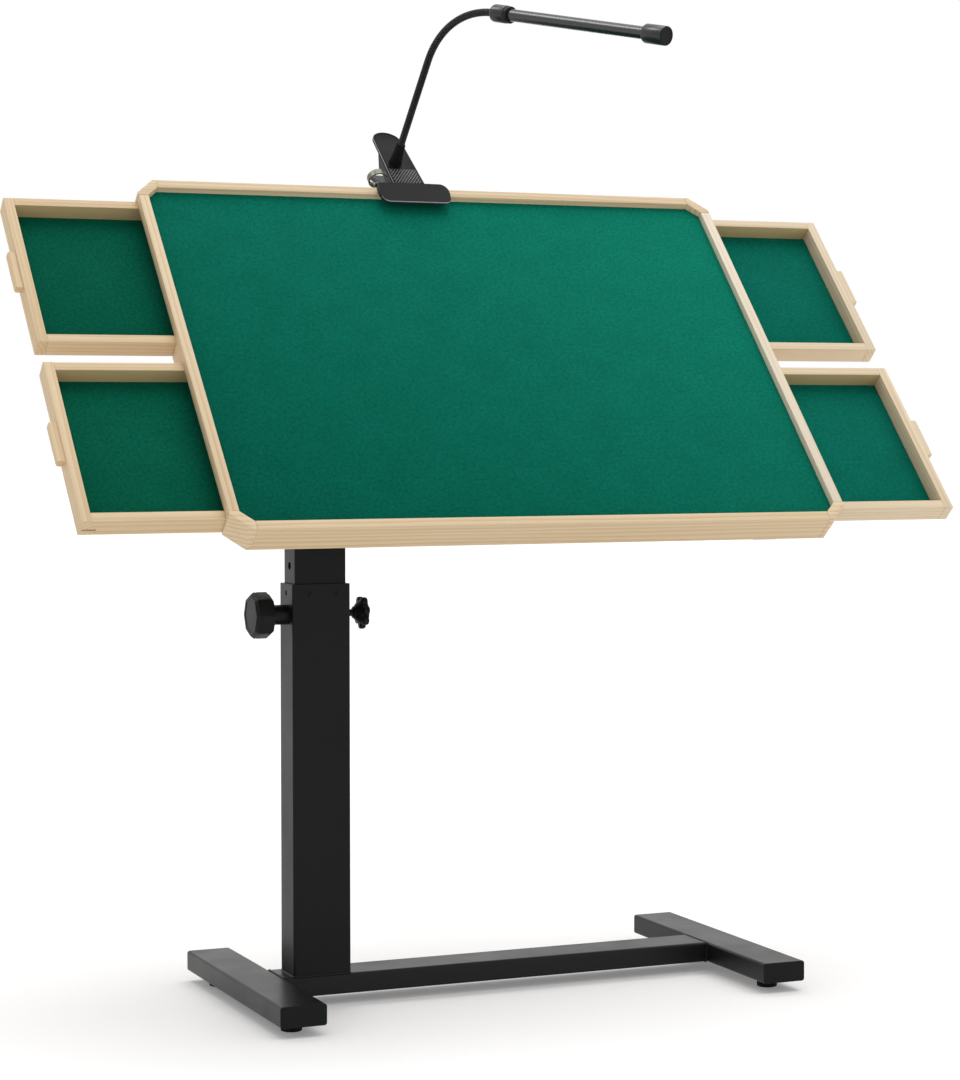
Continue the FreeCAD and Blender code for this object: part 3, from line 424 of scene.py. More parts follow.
glide_rubber = coated(
    "glide_rubber", (0.006, 0.006, 0.006), (0.012, 0.012, 0.012), (0.7, 0.85), 900, 0.00008, 0.2
)
sole = [
    (10.6, 0), (11.6, 0.4), (12, 1.2), (12, 4.6), (11.3, 5.0), (11.3, 5.8), (12, 6.2), (12, 11.2),
    (11, 12),
]
glide = turned("glide", sole)
smooth(glide)
glides = []
for side in (-1, 1):
    for y in (-glide_reach, glide_reach):
        spot = Matrix.Translation(Vector((side * foot_span, base_y + y, 0)) * mm)
        glides.append(copy_of(glide, "glide_copy", spot))
bpy.data.objects.remove(glide)
foot_glides = join("foot_glides", glides)
paint(foot_glides, glide_rubber)
hand_over(foot_glides, "base", ("glides",))

# ---- Height pin knob, height clamp knob and their steel parts ------------------------
# The octagonal pull knob on the left draws the locking pin. It is moulded with a stepped
# rim at either end. The lobed knob on the right clamps the slide through a threaded stud.
knob_z = 452
column_half, pin_collar_reach = 35, 20.5
clamp_grip_x = -180


def plated(name, dark, light, gloss):
    """Bright zinc on turned steel, with fine lathe or draw lines."""
    finish, nodes, links, shader = new_finish(name)
    where = nodes.new("ShaderNodeTexCoord").outputs["Object"]
    tone = noise(nodes, links, where, 120, 3)
    fine = noise(nodes, links, where, 2600)
    links.new(blended(nodes, links, tone, dark, light), shader.inputs["Base Color"])
    links.new(between(nodes, links, tone, *gloss), shader.inputs["Roughness"])
    shader.inputs["Metallic"].default_value = 1.0
    raised(nodes, links, shader, fine, 0.00003, 0.4)
    return finish


zinc = plated("zinc_plated_steel", (0.42, 0.43, 0.43), (0.62, 0.63, 0.62), (0.22, 0.36))
dress(zinc, "index_pin", "tilt_screw", "rivet_nut", "arm_screws")
dress(column_coat, "pin_collar", "clamp_stud")


def along_x(x, y, z, direction=1):
    turn = Matrix.Rotation(math.radians(90 * direction), 4, "Y")
    return Matrix.Translation(Vector((x, y, z)) * mm) @ turn


def eight_ring(across, z, round_by=0.06):
    """An octagon with slightly rounded corners, five points to a corner."""
    ring = []
    for index in range(8):
        middle = index * math.pi / 4
        for step in (-1, -0.5, 0, 0.5, 1):
            turn = middle + step * round_by
            edge = across / 2 / math.cos(math.pi / 8 - abs(step) * round_by)
            pull = 1 - 0.012 * (1 - abs(step))
            ring.append((edge * pull * math.cos(turn), edge * pull * math.sin(turn), z))
    return ring


def eight_sided(name, profile, place):
    return stack(name, [eight_ring(across, z) for across, z in profile], place)


def finish_piece(piece, angle, coat, body, node):
    """Smooths, paints and hands over a piece that stands for one node."""
    smooth(piece, angle)
    paint(piece, coat)
    hand_over(piece, body, (node,))


knob_profile = [
    (38, 0), (44.5, 0.3), (45.6, 1.2), (45.8, 2.6), (49.2, 3.4), (50, 4.2), (50, 15.4), (49, 15.9),
    (49, 16.6), (49.8, 17.1), (49.4, 19.4), (44.6, 22.5), (43.2, 23), (37, 23), (36, 22.4),
]
knob_seat = along_x(column_x - column_half - pin_collar_reach, column_y, knob_z, -1)
pull_knob = eight_sided("pull_knob", knob_profile, knob_seat)
finish_piece(pull_knob, 28, moulded_black, "height_pin", "index_knob")


def lobed_ring(core, lobe, z, count=84, lobes=7):
    """Outline of a round core with lobes; a lobe radius of 0 leaves the core alone."""
    ring = []
    for index in range(count):
        turn = 2 * math.pi * index / count
        off = (turn + math.pi / lobes) % (2 * math.pi / lobes) - math.pi / lobes
        reach = core
        beside = core * math.sin(off)
        if lobe and abs(beside) < lobe:
            reach = max(core, core * math.cos(off) + math.sqrt(lobe ** 2 - beside ** 2))
        ring.append((reach * math.cos(turn), reach * math.sin(turn), z))
    return ring


def lobed_knob(name, core, hub_radius, hub_length, length, place):
    """Hub from the stud end, a cone with two steps, the lobed grip and a domed end."""
    top = hub_length + length
    stations = [
        (hub_radius - 1, 0, 0), (hub_radius, 0, 0.8), (hub_radius, 0, hub_length * 0.3),
        (hub_radius + 1.2, 0, hub_length * 0.4), (core - 0.8, 0, hub_length),
    ]
    for lobe, rise in ((1.0, 0.8), (4.0, 1.1), (5.1, 1.7), (5.5, 2.7)):
        stations.append((core, lobe, hub_length + rise))
    for lobe, drop in ((5.5, 3.6), (5.2, 2.5), (4.4, 1.8), (1.6, 1.3)):
        stations.append((core, lobe, top - drop))
    for share, drop in ((0.96, 0.9), (0.84, 0.3), (0.7, 0), (0.62, 0.5)):
        stations.append((core * share, 0, top - drop))
    return stack(name, [lobed_ring(*station) for station in stations], place)


stud_seat = along_x(clamp_grip_x, column_y, knob_z)
clamp_grip = lobed_knob("clamp_grip", 13.75, 7, 7, 10, stud_seat)
finish_piece(clamp_grip, 40, moulded_black, "height_clamp", "clamp_knob")

# ---- Tilt head -----------------------------------------------------------------------
# A split steel clamp on the column's top plate grips the cross tube. A lobed knob under
# its ears closes it. Flat arms with eyes are welded to the tube and carry the board.
dress(powder_coat, "tilt_clamp", "cross_tube", "support_arms")
dress(moulded_black, "cross_tube_caps")
pivot = Vector((0, column_y, 650.3))
ear_reach, ear_drop = 50, 9.5
knob_down = Matrix.Translation((pivot + Vector((column_x, ear_reach, -ear_drop))) * mm)
knob_down = knob_down @ Matrix.Rotation(math.pi, 4, "X")
tilt_grip = lobed_knob("tilt_grip", 14.5, 7.5, 6, 20, knob_down)
finish_piece(tilt_grip, 40, moulded_black, "tilt_lock", "tilt_knob")

# ---- Board frame ---------------------------------------------------------------------
# Planed pine, glued up: front and back rails with a raised lip, four corner blocks cut at
# 45 degrees, side lips, a middle beam and dividers. The arrises are broken by hand.
board_tilt = math.radians(47)
tilted = Matrix.Rotation(board_tilt, 4, "X")
from_pivot = Matrix.Translation(Vector((0, -187, 66)) * mm)
board_place = Matrix.Translation(pivot * mm) @ tilted @ from_pivot
rail = 25
rail_end = 354
lip = 12.5
seat = -12
depth = 550
half_width = 381
underside = -35


def mapped(nodes, links, vector, location=(0, 0, 0), rotation=(0, 0, 0), scale=(1, 1, 1)):
    mapping = nodes.new("ShaderNodeMapping")
    mapping.inputs["Location"].default_value = location
    mapping.inputs["Rotation"].default_value = rotation
    mapping.inputs["Scale"].default_value = scale
    links.new(vector, mapping.inputs["Vector"])
    return mapping.outputs["Vector"]


def on_board(nodes, links):
    """Object coordinates laid flat: x across the board, y up its slope, z out of it."""
    where = nodes.new("ShaderNodeTexCoord").outputs["Object"]
    return mapped(nodes, links, where, board_place.inverted().translation, (-board_tilt, 0, 0))


def pine(name, along, pith, shade=0.0, painted_light=0.0, deep=(0.60, 0.41, 0.21)):
    """Slash-sawn pine, with rings about a pith given in mm across the grain.

    Broad patches turn towards the deep tone, and shade turns it further as painted shade; painted_light
    lightens it towards a pale tone as painted light.
    """
    finish, nodes, links, shader = new_finish(name)
    turn, way = (0, -1) if along == "u" else (math.radians(-90), 1)
    centre = (0, way * pith[0] * mm, -pith[1] * mm)
    grain = mapped(nodes, links, on_board(nodes, links), centre, (0, 0, turn))
    stretch = mapped(nodes, links, grain, scale=(0.07, 1, 1))
    fibre_run = mapped(nodes, links, grain, scale=(0.02, 1, 1))
    rings = nodes.new("ShaderNodeTexWave")
    rings.wave_type = "RINGS"
    rings.rings_direction = "X"
    rings.wave_profile = "SAW"
    ring_habit = {"Scale": 62, "Distortion": 5.0, "Detail": 2.5, "Detail Scale": 0.55}
    for socket, value in ring_habit.items():
        rings.inputs[socket].default_value = value
    links.new(stretch, rings.inputs["Vector"])
    ramp = nodes.new("ShaderNodeValToRGB")
    stops = ramp.color_ramp.elements
    stops[0].color = (0.752, 0.605, 0.405, 1)
    stops[1].color = (0.715, 0.555, 0.355, 1)
    late_wood = {
        0.45: (0.73, 0.57, 0.365, 1),
        0.82: (0.65, 0.465, 0.265, 1),
        0.93: (0.60, 0.415, 0.225, 1),
    }
    for position, colour in late_wood.items():
        stops.new(position).color = colour
    links.new(rings.outputs["Fac"], ramp.inputs["Fac"])
    fibre = noise(nodes, links, fibre_run, 1500, 3, 0.6)
    streak = noise(nodes, links, fibre_run, 190)
    broad = noise(nodes, links, stretch, 26)
    late = between(nodes, links, fibre, 0.0, 0.16)
    tint = blended(nodes, links, late, ramp.outputs["Color"], (0.47, 0.30, 0.14))
    paler = between(nodes, links, streak, 0.0, 0.22)
    streaked = blended(nodes, links, paler, tint, (0.81, 0.70, 0.52))
    deeper = between(nodes, links, broad, shade, 0.24 + shade)
    warm = blended(nodes, links, deeper, streaked, deep)
    # Painted light: the pine is lightened towards a pale tone by painted_light.
    light_wash = between(nodes, links, streak, painted_light * 0.8, painted_light * 1.2)
    links.new(blended(nodes, links, light_wash, warm, (0.87, 0.82, 0.71)), shader.inputs["Base Color"])
    links.new(between(nodes, links, fibre, 0.50, 0.62), shader.inputs["Roughness"])
    shader.inputs["Specular IOR Level"].default_value = 0.35
    raised(nodes, links, shader, fibre, 0.00012, 0.5)
    return finish


def prism(name, outline, ends, axis):
    """A straight bar whose section is the outline, between its ends along u or w."""
    if axis == "u":
        return stack(name, [[(end, a, b) for a, b in outline] for end in ends])
    return stack(name, [[(a, b, end) for a, b in outline] for end in ends])


def place_board(piece):
    piece.data.transform(board_place)


def turn_over(piece):
    """Mirrors a board piece front to back."""
    flip = Matrix.Translation((0, depth * mm, 0)) @ Matrix.Diagonal((1, -1, 1, 1))
    twin = copy_of(piece, piece.name + "_back", flip)
    twin.data.flip_normals()
    return twin


def other_side(piece):
    """Mirrors a board piece left to right."""
    twin = copy_of(piece, piece.name + "_other", Matrix.Diagonal((-1, 1, 1, 1)))
    twin.data.flip_normals()
    return twin


rail_section = [(0, underside), (rail, underside), (rail, seat), (lip, seat), (lip, 0), (0, 0)]
# The front rail's pine is darkened by 0.12 of painted shade, and the right lip's pine is lightened by
# 0.45 of painted light.
front_pine = pine("front_rail_pine", "u", (38, -62), 0.12, 0.0)
rear_pine = pine("rear_rail_pine", "u", (590, -48))
strip_pine = pine("side_lip_pine", "v", (-300, -60))
right_lip_pine_lit = pine("right_lip_pine_painted_light", "v", (330, -55), 0.0, 0.45)
block_pine = pine("corner_block_pine", "u", (60, 44))
beam_pine = pine("middle_beam_pine", "u", (300, -80))
divider_pine = pine("divider_pine", "v", (40, -70))

front_bar = prism("front_bar", rail_section, (-rail_end, rail_end), "u")
rear_bar = turn_over(front_bar)
rails = ((front_bar, "front_rail", front_pine), (rear_bar, "rear_rail", rear_pine))
for bar, node, finish in rails:
    ease(bar, 0.9, 3)
    bar.name = node + "_bar"
    place_board(bar)
    paint(bar, finish)
    hand_over(bar, "board", (node,))

cut_corner = [(rail_end, 0), (359, 0), (half_width, 22)]
inner_side = half_width - lip
low_block = [*cut_corner, (half_width, rail), (rail_end, rail)]
high_block = [
    *cut_corner, (half_width, 27), (inner_side, 27), (inner_side, 26.5), (354.5, lip), (rail_end, lip),
]
block_split = seat - 0.02
corner_low = prism("corner_low", low_block, (underside, block_split), "w")
corner_high = prism("corner_high", high_block, (block_split, 0), "w")


def ease_where(piece, width, test, segments=2):
    only(piece)
    bpy.ops.object.mode_set(mode="EDIT")
    pick(piece, "EDGE", test)
    bpy.ops.mesh.bevel(offset=width * mm, segments=segments, affect="EDGES")
    bpy.ops.object.mode_set(mode="OBJECT")
    smooth(piece)


def ends_at(level):
    return lambda e: all(abs(v.co.z - level * mm) < 1e-6 for v in e.verts)


ease_where(corner_low, 0.6, ends_at(underside))
ease_where(corner_high, 0.7, ends_at(0))
corner = join("corner", [corner_low, corner_high])
corners = [corner, other_side(corner)]
corners += [turn_over(piece) for piece in corners]
corner_set = join("corner_set", corners)
place_board(corner_set)
paint(corner_set, block_pine)
hand_over(corner_set, "board", ("corner_blocks",))

lip_start = 27.05
lip_run = (lip_start, depth - lip_start)
right_lip = block("right_lip", (inner_side, half_width), lip_run, (seat, 0))
left_lip = other_side(right_lip)
for lip_piece, finish in ((right_lip, right_lip_pine_lit), (left_lip, strip_pine)):
    ease(lip_piece, 0.7)
    paint(lip_piece, finish)
side_lips = join("side_lips", [right_lip, left_lip])
place_board(side_lips)
hand_over(side_lips, "board", ("side_strips",))

beam_run = (260, 290)
beam = block("middle_bar", (-half_width, half_width), beam_run, (underside, seat))
ease(beam, 0.7)
place_board(beam)
paint(beam, beam_pine)
hand_over(beam, "board", ("mid_beam",))
dress(divider_pine, "centre_dividers")
dress(powder_coat, "drawer_ledgers")


# ---- Panel and felt ------------------------------------------------------------------
# A thin birch plywood panel lies in the rebate. Dense green wool-look felt is glued on it,
# cut to the shape of the lip; it has a short nap with paler fibres lying in all ways.
def plywood(name):
    finish, nodes, links, shader = new_finish(name)
    run = mapped(nodes, links, on_board(nodes, links), scale=(0.06, 1, 1))
    figure = between(nodes, links, noise(nodes, links, run, 90, 4, 0.6), 0, 1)
    pore = noise(nodes, links, run, 1300, 2, 0.6)
    tone = blended(nodes, links, figure, (0.62, 0.44, 0.27), (0.74, 0.57, 0.38))
    speck = between(nodes, links, pore, 0, 0.18)
    speckled = blended(nodes, links, speck, tone, (0.40, 0.25, 0.13))
    links.new(speckled, shader.inputs["Base Color"])
    shader.inputs["Roughness"].default_value = 0.62
    raised(nodes, links, shader, pore, 0.00008, 0.5)
    return finish


def felted(name, dark, light, tip, shade_fall=(0.0, 0.0)):
    """Short wool nap with painted shade: from the back right corner it darkens by shade_fall for each
    metre to the left and to the front.
    """
    finish, nodes, links, shader = new_finish(name)
    flat = on_board(nodes, links)
    patch = noise(nodes, links, flat, 22, 3, 0.6)
    nap = noise(nodes, links, flat, 260, 4, 0.7)
    fibre = noise(nodes, links, flat, 1900, 3, 0.7)
    base = blended(nodes, links, between(nodes, links, patch, 0.25, 0.75), dark, light)
    hollow = tuple(0.45 * part for part in dark)
    combed = blended(nodes, links, between(nodes, links, nap, 0, 0.8), base, hollow)
    tipped = blended(nodes, links, between(nodes, links, fibre, 0, 0.22), combed, tip)
    along_shade = nodes.new("ShaderNodeVectorMath")
    along_shade.operation = "DOT_PRODUCT"
    along_shade.inputs[1].default_value = (*shade_fall, 0)
    links.new(flat, along_shade.inputs[0])
    at_corner = 0.37 * shade_fall[0] + 0.54 * shade_fall[1]
    # Painted shade: the felt darkens away from the back right corner.
    painted_shade = combined(nodes, links, "SUBTRACT", at_corner, along_shade.outputs["Value"])
    shaded_nap = blended(nodes, links, painted_shade, tipped, (0.0, 0.0, 0.0))
    links.new(shaded_nap, shader.inputs["Base Color"])
    shader.inputs["Roughness"].default_value = 0.95
    shader.inputs["Specular IOR Level"].default_value = 0.04
    raised(nodes, links, shader, fibre, 0.0003, 0.6)
    return finish


birch = plywood("birch_plywood")
# The board's felt carries painted shade, darker to the left and to the front.
green_felt = felted(
    "green_felt_nap", (0.0014, 0.190, 0.122), (0.0033, 0.270, 0.178), (0.007, 0.325, 0.215), (0.35, 0.45)
)
# One drawer felt in two copies: darker on the left as painted shade, lighter on the right as painted
# light.
left_felt_shaded_copy = felted(
    "left_drawer_nap_shaded_copy", (0.0007, 0.096, 0.054), (0.0018, 0.135, 0.078), (0.004, 0.165, 0.098)
)
right_felt_lit_copy = felted(
    "right_drawer_nap_lit_copy", (0.0012, 0.138, 0.094), (0.0028, 0.193, 0.135), (0.006, 0.24, 0.172)
)
dress(birch, "top_panel", "front_left_drawer_bottom", "front_right_drawer_bottom")
dress(birch, "rear_left_drawer_bottom", "rear_right_drawer_bottom")
felt_thick = 1


def felt_sheet(name, finish, outline, low, body, node, under, flat, area=None):
    """Felt cut to the outline, its edge softened by the knife."""
    cloth = prism(name, outline, (low, low + felt_thick), "w")
    ease(cloth, 0.35, 2, 60)
    place_board(cloth)
    paint(cloth, finish)
    hand_over(cloth, body, (node,))


top_felt_low = -9
felt_side, felt_front, felt_back, felt_cut = 368.4, 12.6, 537.4, 14
top_outline = [
    (felt_side - felt_cut, felt_front), (felt_side, felt_front + felt_cut),
    (felt_side, felt_back - felt_cut), (felt_side - felt_cut, felt_back),
]
top_outline += [(-across, up) for across, up in reversed(top_outline)]
top_size = (2 * felt_side * mm, (felt_back - felt_front) * mm)
top_area = top_size[0] * top_size[1] - 2 * (felt_cut * mm) ** 2
felt_sheet(
    "top_cloth", green_felt, top_outline, top_felt_low, "board", "top_felt", "top_panel",
    top_size, top_area,
)

# ---- Drawers -------------------------------------------------------------------------
# Four shallow trays of the same pine, glued at butt corners, with a small pull under the
# top edge of the front, a plywood bottom and a felt lining. They slide out to the sides.
drawer_top = -12.4
drawer_low = -34.7
felt_low = -32.2
drawer_in = 167
drawer_out = 541
side_wall = 12
bays = {"front": 25, "rear": 290}
bay_depth = 235
gap = 0.8
fit = 0.1
pull_reach, pull_half, pull_height = 10, 28.5, (-23.9, -14.9)
slot_run, slot_height = (522, 538), (-28.4, -26)


def carve(piece, cutter):
    only(piece)
    cut_away = piece.modifiers.new("carve", "BOOLEAN")
    cut_away.object = cutter
    bpy.ops.object.modifier_apply(modifier=cut_away.name)


def drawer_body(bay, slotted):
    """The crosswise pieces, then the lengthwise walls: near and far."""
    y_low = bay + gap
    y_high = bay + bay_depth - gap
    w = (drawer_low, drawer_top)
    front = block("front", (drawer_out - side_wall, drawer_out), (y_low, y_high), w)
    back = block("back", (drawer_in, drawer_in + side_wall), (y_low, y_high), w)
    run = (drawer_in + side_wall, drawer_out - side_wall)
    near = block("near", run, (y_low, y_low + side_wall), w)
    far = block("far", run, (y_high - side_wall, y_high), w)
    if slotted:
        cutter = block("cutter", slot_run, (y_low - 4, y_low + 4), slot_height)
        ease(cutter, 0.9, 3)
        carve(near, cutter)
        carve(front, cutter)
        bpy.data.objects.remove(cutter)
    middle = (y_low + y_high) / 2
    face = drawer_out + pull_reach
    pull = block("pull", (drawer_out, face), (middle - pull_half, middle + pull_half), pull_height)
    only(pull)
    bpy.ops.object.mode_set(mode="EDIT")
    pick(pull, "FACE", lambda f: abs(f.calc_center_median().x - face * mm) < 1e-6)
    bpy.ops.mesh.bevel(offset=2.8 * mm, segments=4, affect="EDGES")
    bpy.ops.object.mode_set(mode="OBJECT")
    for wall in (front, back, near, far):
        ease(wall, 0.8, 3)
    smooth(pull, 40)
    return [front, back, pull], [near, far]


# Per drawer: the piths of its cross and long pieces, then its painted shade and painted light; the left
# drawers are darkened and the right ones lightened.
piths_and_painted_light = {
    ("front", "left"): ((-500, -75), (60, -58), 0.22, 0.0),
    ("front", "right"): ((520, 30), (20, -70), 0.0, 0.15),
    ("rear", "left"): ((-590, -60), (320, -75), 0.25, 0.0),
    ("rear", "right"): ((480, -66), (560, -50), 0.05, 0.22),
}
for row, bay in bays.items():
    for side, direction in (("left", -1), ("right", 1)):
        tag = row + "_" + side + "_drawer"
        cross_pith, long_pith, shade, painted_light = piths_and_painted_light[row, side]
        cross_pine = pine(tag + "_cross_pine", "v", cross_pith, shade, painted_light)
        long_pine = pine(tag + "_long_pine", "u", long_pith, shade, painted_light)
        crosswise, lengthwise = drawer_body(bay, tag == "front_left_drawer")
        for piece in crosswise:
            paint(piece, cross_pine)
        # The far wall's inner face gets a darker copy of the pine as painted shade.
        inner_shade_pine = pine(tag + "_inner_shade_pine", "u", long_pith, 0.75, 0.0, (0.47, 0.36, 0.17))
        for piece in lengthwise:
            paint(piece, long_pine, inner_shade_pine)
        inner_face = (bay + bay_depth - gap - side_wall + 0.2) * mm
        for face in lengthwise[1].data.polygons:
            face.material_index = int(face.center.y < inner_face)
        tray = join(tag + "_tray", crosswise + lengthwise)
        y_low = bay + gap + side_wall + fit
        y_high = bay + bay_depth - gap - side_wall - fit
        u_low = drawer_in + side_wall + fit
        u_high = drawer_out - side_wall - fit
        if direction < 0:
            tray.data.transform(Matrix.Diagonal((-1, 1, 1, 1)))
            tray.data.flip_normals()
            u_low, u_high = -u_high, -u_low
        place_board(tray)
        hand_over(tray, tag, (tag + "_box",))
        outline = [(u_low, y_low), (u_high, y_low), (u_high, y_high), (u_low, y_high)]
        size = ((u_high - u_low) * mm, (y_high - y_low) * mm)
        nap = left_felt_shaded_copy if direction < 0 else right_felt_lit_copy
        names = (tag, tag + "_felt", tag + "_bottom")
        felt_sheet(tag + "_lining", nap, outline, felt_low, *names, size)

# ---- Clip ----------------------------------------------------------------------------
# A two-part spring clip of matt grey-black moulded plastic holds the light on the back
# rail: a straight jaw, a rounded thumb lever with a knurled band, and side cheeks.
clip_u = -25
lever_drop = math.radians(8.5)
lamp_plastic = coated(
    "lamp_plastic", (0.014, 0.0145, 0.0145), (0.022, 0.0225, 0.0225), (0.42, 0.54),
    2400, 0.00003, 0.15,
)
lever_plastic = coated(
    "lever_plastic", (0.0060, 0.0063, 0.0063), (0.0100, 0.0103, 0.0103), (0.44, 0.54),
    2400, 0.00003, 0.05,
)
jaw_plastic = coated(
    "jaw_plastic", (0.020, 0.0205, 0.0205), (0.030, 0.0305, 0.0305), (0.42, 0.54),
    2400, 0.00003, 0.15,
)
# A pale finish put on a few bevels as a painted highlight.
painted_edge_highlight = coated(
    "painted_edge_highlight", (0.28, 0.285, 0.28), (0.42, 0.425, 0.42), (0.35, 0.45), 900, 0.00003, 0.3
)
clip_rubber = coated(
    "clip_rubber", (0.006, 0.006, 0.006), (0.011, 0.011, 0.011), (0.75, 0.9), 1200, 0.00006, 0.1
)
dress(clip_rubber, "clip_upper_pad", "clip_lower_pad")
dress(lamp_plastic, "clip_lower")
spring_steel = plated("spring_steel", (0.05, 0.055, 0.045), (0.22, 0.23, 0.19), (0.30, 0.46))
dress(spring_steel, "clip_spring", "clip_pin")

jaw_left, jaw_right = clip_u - 49.5, clip_u + 43.5
jaw_front, jaw_back = 520, 546
jaw_section = [(jaw_front, 2.5), (jaw_front, 5), (jaw_back, 12.5), (jaw_back, 2.5)]
jaw = prism("clip_jaw_face", jaw_section, (jaw_left, jaw_right), "u")


def corner_at(u, v):
    corner_place = Vector((u, v)) * mm
    return lambda e: all((p.co.xy - corner_place).length < 1e-6 for p in e.verts)


jaw_corners = ((jaw_left, jaw_front, 12), (jaw_right, jaw_front, 7), (jaw_right, jaw_back, 13))
for u, v, radius in jaw_corners:
    ease_where(jaw, radius, corner_at(u, v), 8)
ease_where(jaw, 1.0, lambda e: all(4.9 * mm < p.co.z < 8 * mm for p in e.verts), 3)
ease(jaw, 0.5, 2, 35)
# The jaw's front top bevel gets the painted highlight.
paint(jaw, jaw_plastic, painted_edge_highlight)
for face in jaw.data.polygons:
    ahead, upward = -face.normal.y, face.normal.z
    face.material_index = int(ahead > 0.45 and upward > 0.35 and face.center.z > 3.6 * mm)
lever_half = 21
heel_section = [(545.9, 12.5), (560, -1), (560, -5.5), (551.5, 2.5), (545.9, 2.5)]
heel = prism("clip_heel", heel_section, (clip_u - lever_half, clip_u + lever_half), "u")

lever_root = Vector((clip_u, 558, -2))
lever_place = Matrix.Translation(lever_root * mm) @ Matrix.Rotation(-lever_drop, 4, "X")
tip_radius, tip_start, tip_steps = 18.5, 100.5, 24
lever_outline = [(-lever_half, 0), (lever_half, 0)]
for index in range(tip_steps + 1):
    turn = math.pi * index / tip_steps
    lever_outline.append((tip_radius * math.cos(turn), tip_start + tip_radius * math.sin(turn)))
lever = prism("clip_lever", lever_outline, (-3.5, 0), "w")
bpy.ops.object.mode_set(mode="EDIT")
pick(lever, "FACE", lambda f: f.normal.z > 0.9 and f.calc_center_median().z > -0.1 * mm)
bpy.ops.mesh.inset(thickness=2.2 * mm)
bpy.ops.mesh.inset(thickness=0.7 * mm, depth=-0.7 * mm)
bpy.ops.object.mode_set(mode="OBJECT")
ease(lever, 0.8, 2, 40)
# The lever's left rim bevel gets the painted highlight.
paint(lever, lever_plastic, painted_edge_highlight)
for face in lever.data.polygons:
    on_rim = face.normal.z > 0.2 and face.center.z > -0.8 * mm and face.center.x < -16 * mm
    face.material_index = int(on_rim and face.normal.x < -0.2)
lever.data.transform(lever_place)


def crossed(name, slant, fineness, glint_tops, dark, height, wrap_map=None):
    """Two sets of ridges cross, laid on the board or on a wrap map; their tops carry a painted
    highlight.
    """
    finish, nodes, links, shader = new_finish(name)
    if wrap_map:
        wrap = nodes.new("ShaderNodeUVMap")
        wrap.uv_map = wrap_map
        where = wrap.outputs["UV"]
    else:
        where = on_board(nodes, links)
    ridges = []
    for turn in (math.radians(slant), math.radians(-slant)):
        ridge = nodes.new("ShaderNodeTexWave")
        ridge.inputs["Scale"].default_value = fineness
        links.new(mapped(nodes, links, where, rotation=(0, 0, turn)), ridge.inputs["Vector"])
        ridges.append(ridge.outputs["Fac"])
    both = combined(nodes, links, "MULTIPLY", *ridges)
    # Painted highlight: the ridge tops are coloured pale.
    top = between(nodes, links, both, 0.0, 1.0, *glint_tops)
    shade = blended(nodes, links, top, dark, (0.30, 0.305, 0.30))
    links.new(shade, shader.inputs["Base Color"])
    shader.inputs["Roughness"].default_value = 0.5
    shader.inputs["Specular IOR Level"].default_value = 0.1
    raised(nodes, links, shader, both, 0.0004, height)
    return finish


knurl = crossed("lever_knurl", 35, 96, (0.42, 0.62), (0.004, 0.0042, 0.0042), 0.8)
grip_band = block("grip_band", (-18.2, 18.2), (3, 36), (-0.9, -0.15))
ease(grip_band, 0.3)
grip_band.data.transform(lever_place)
paint(grip_band, knurl)

hinge_v, hinge_w = 576, -17


def lever_point(run, down):
    """A place on the lever's side, given along the lever and under its top."""
    v = lever_root.y + run * math.cos(lever_drop) - down * math.sin(lever_drop)
    return v, lever_root.z - run * math.sin(lever_drop) - down * math.cos(lever_drop)


cheek_outline = [
    lever_point(0, 1), lever_point(74, 1), lever_point(74, 4.5), (hinge_v + 37, hinge_w - 11.5),
    (hinge_v + 20.5, hinge_w - 5), (hinge_v + 6, hinge_w - 6), (hinge_v - 6, hinge_w - 6),
    (hinge_v - 6, hinge_w + 2),
]
cheek_thick, lever_taper = 2.5, 0.027
cheeks = []
for start in (clip_u - lever_half, clip_u + lever_half - cheek_thick):
    cheek = prism("clip_cheek", cheek_outline, (start, start + cheek_thick), "u")
    ease(cheek, 0.4, 2, 35)
    for point in cheek.data.vertices:
        edge = (lever_half - lever_taper * max(0.0, point.co.y / mm - lever_root.y)) * mm
        point.co.x = clip_u * mm + max(-edge, min(edge, point.co.x - clip_u * mm))
    cheeks.append(cheek)

neck_lean, neck_heading = math.radians(-3.2), math.radians(-64.7)
neck_root = Vector((clip_u - 4, 610, 18.4))
neck_place = Matrix.Translation(neck_root * mm)
neck_place = neck_place @ Matrix.Rotation(neck_lean, 4, "X") @ Matrix.Rotation(neck_heading, 4, "Z")
boot_profile = [
    (8.6, -29.6), (8.3, -28.4), (7.9, -26.5), (5.9, -5.2), (5.9, -4.6), (5.6, -4.3), (5.6, -3.6),
    (5.9, -3.3), (5.8, -0.6), (5.5, -0.1), (4.6, 0),
]
boot = turned("neck_boot", boot_profile, neck_place)
smooth(boot, 30)
paint(boot, clip_rubber)
for piece in [heel, *cheeks]:
    paint(piece, lamp_plastic)
clip_top = join("clip_top", [jaw, heel, lever, boot, grip_band, *cheeks])
place_board(clip_top)
hand_over(clip_top, "board", ("clip_upper",))


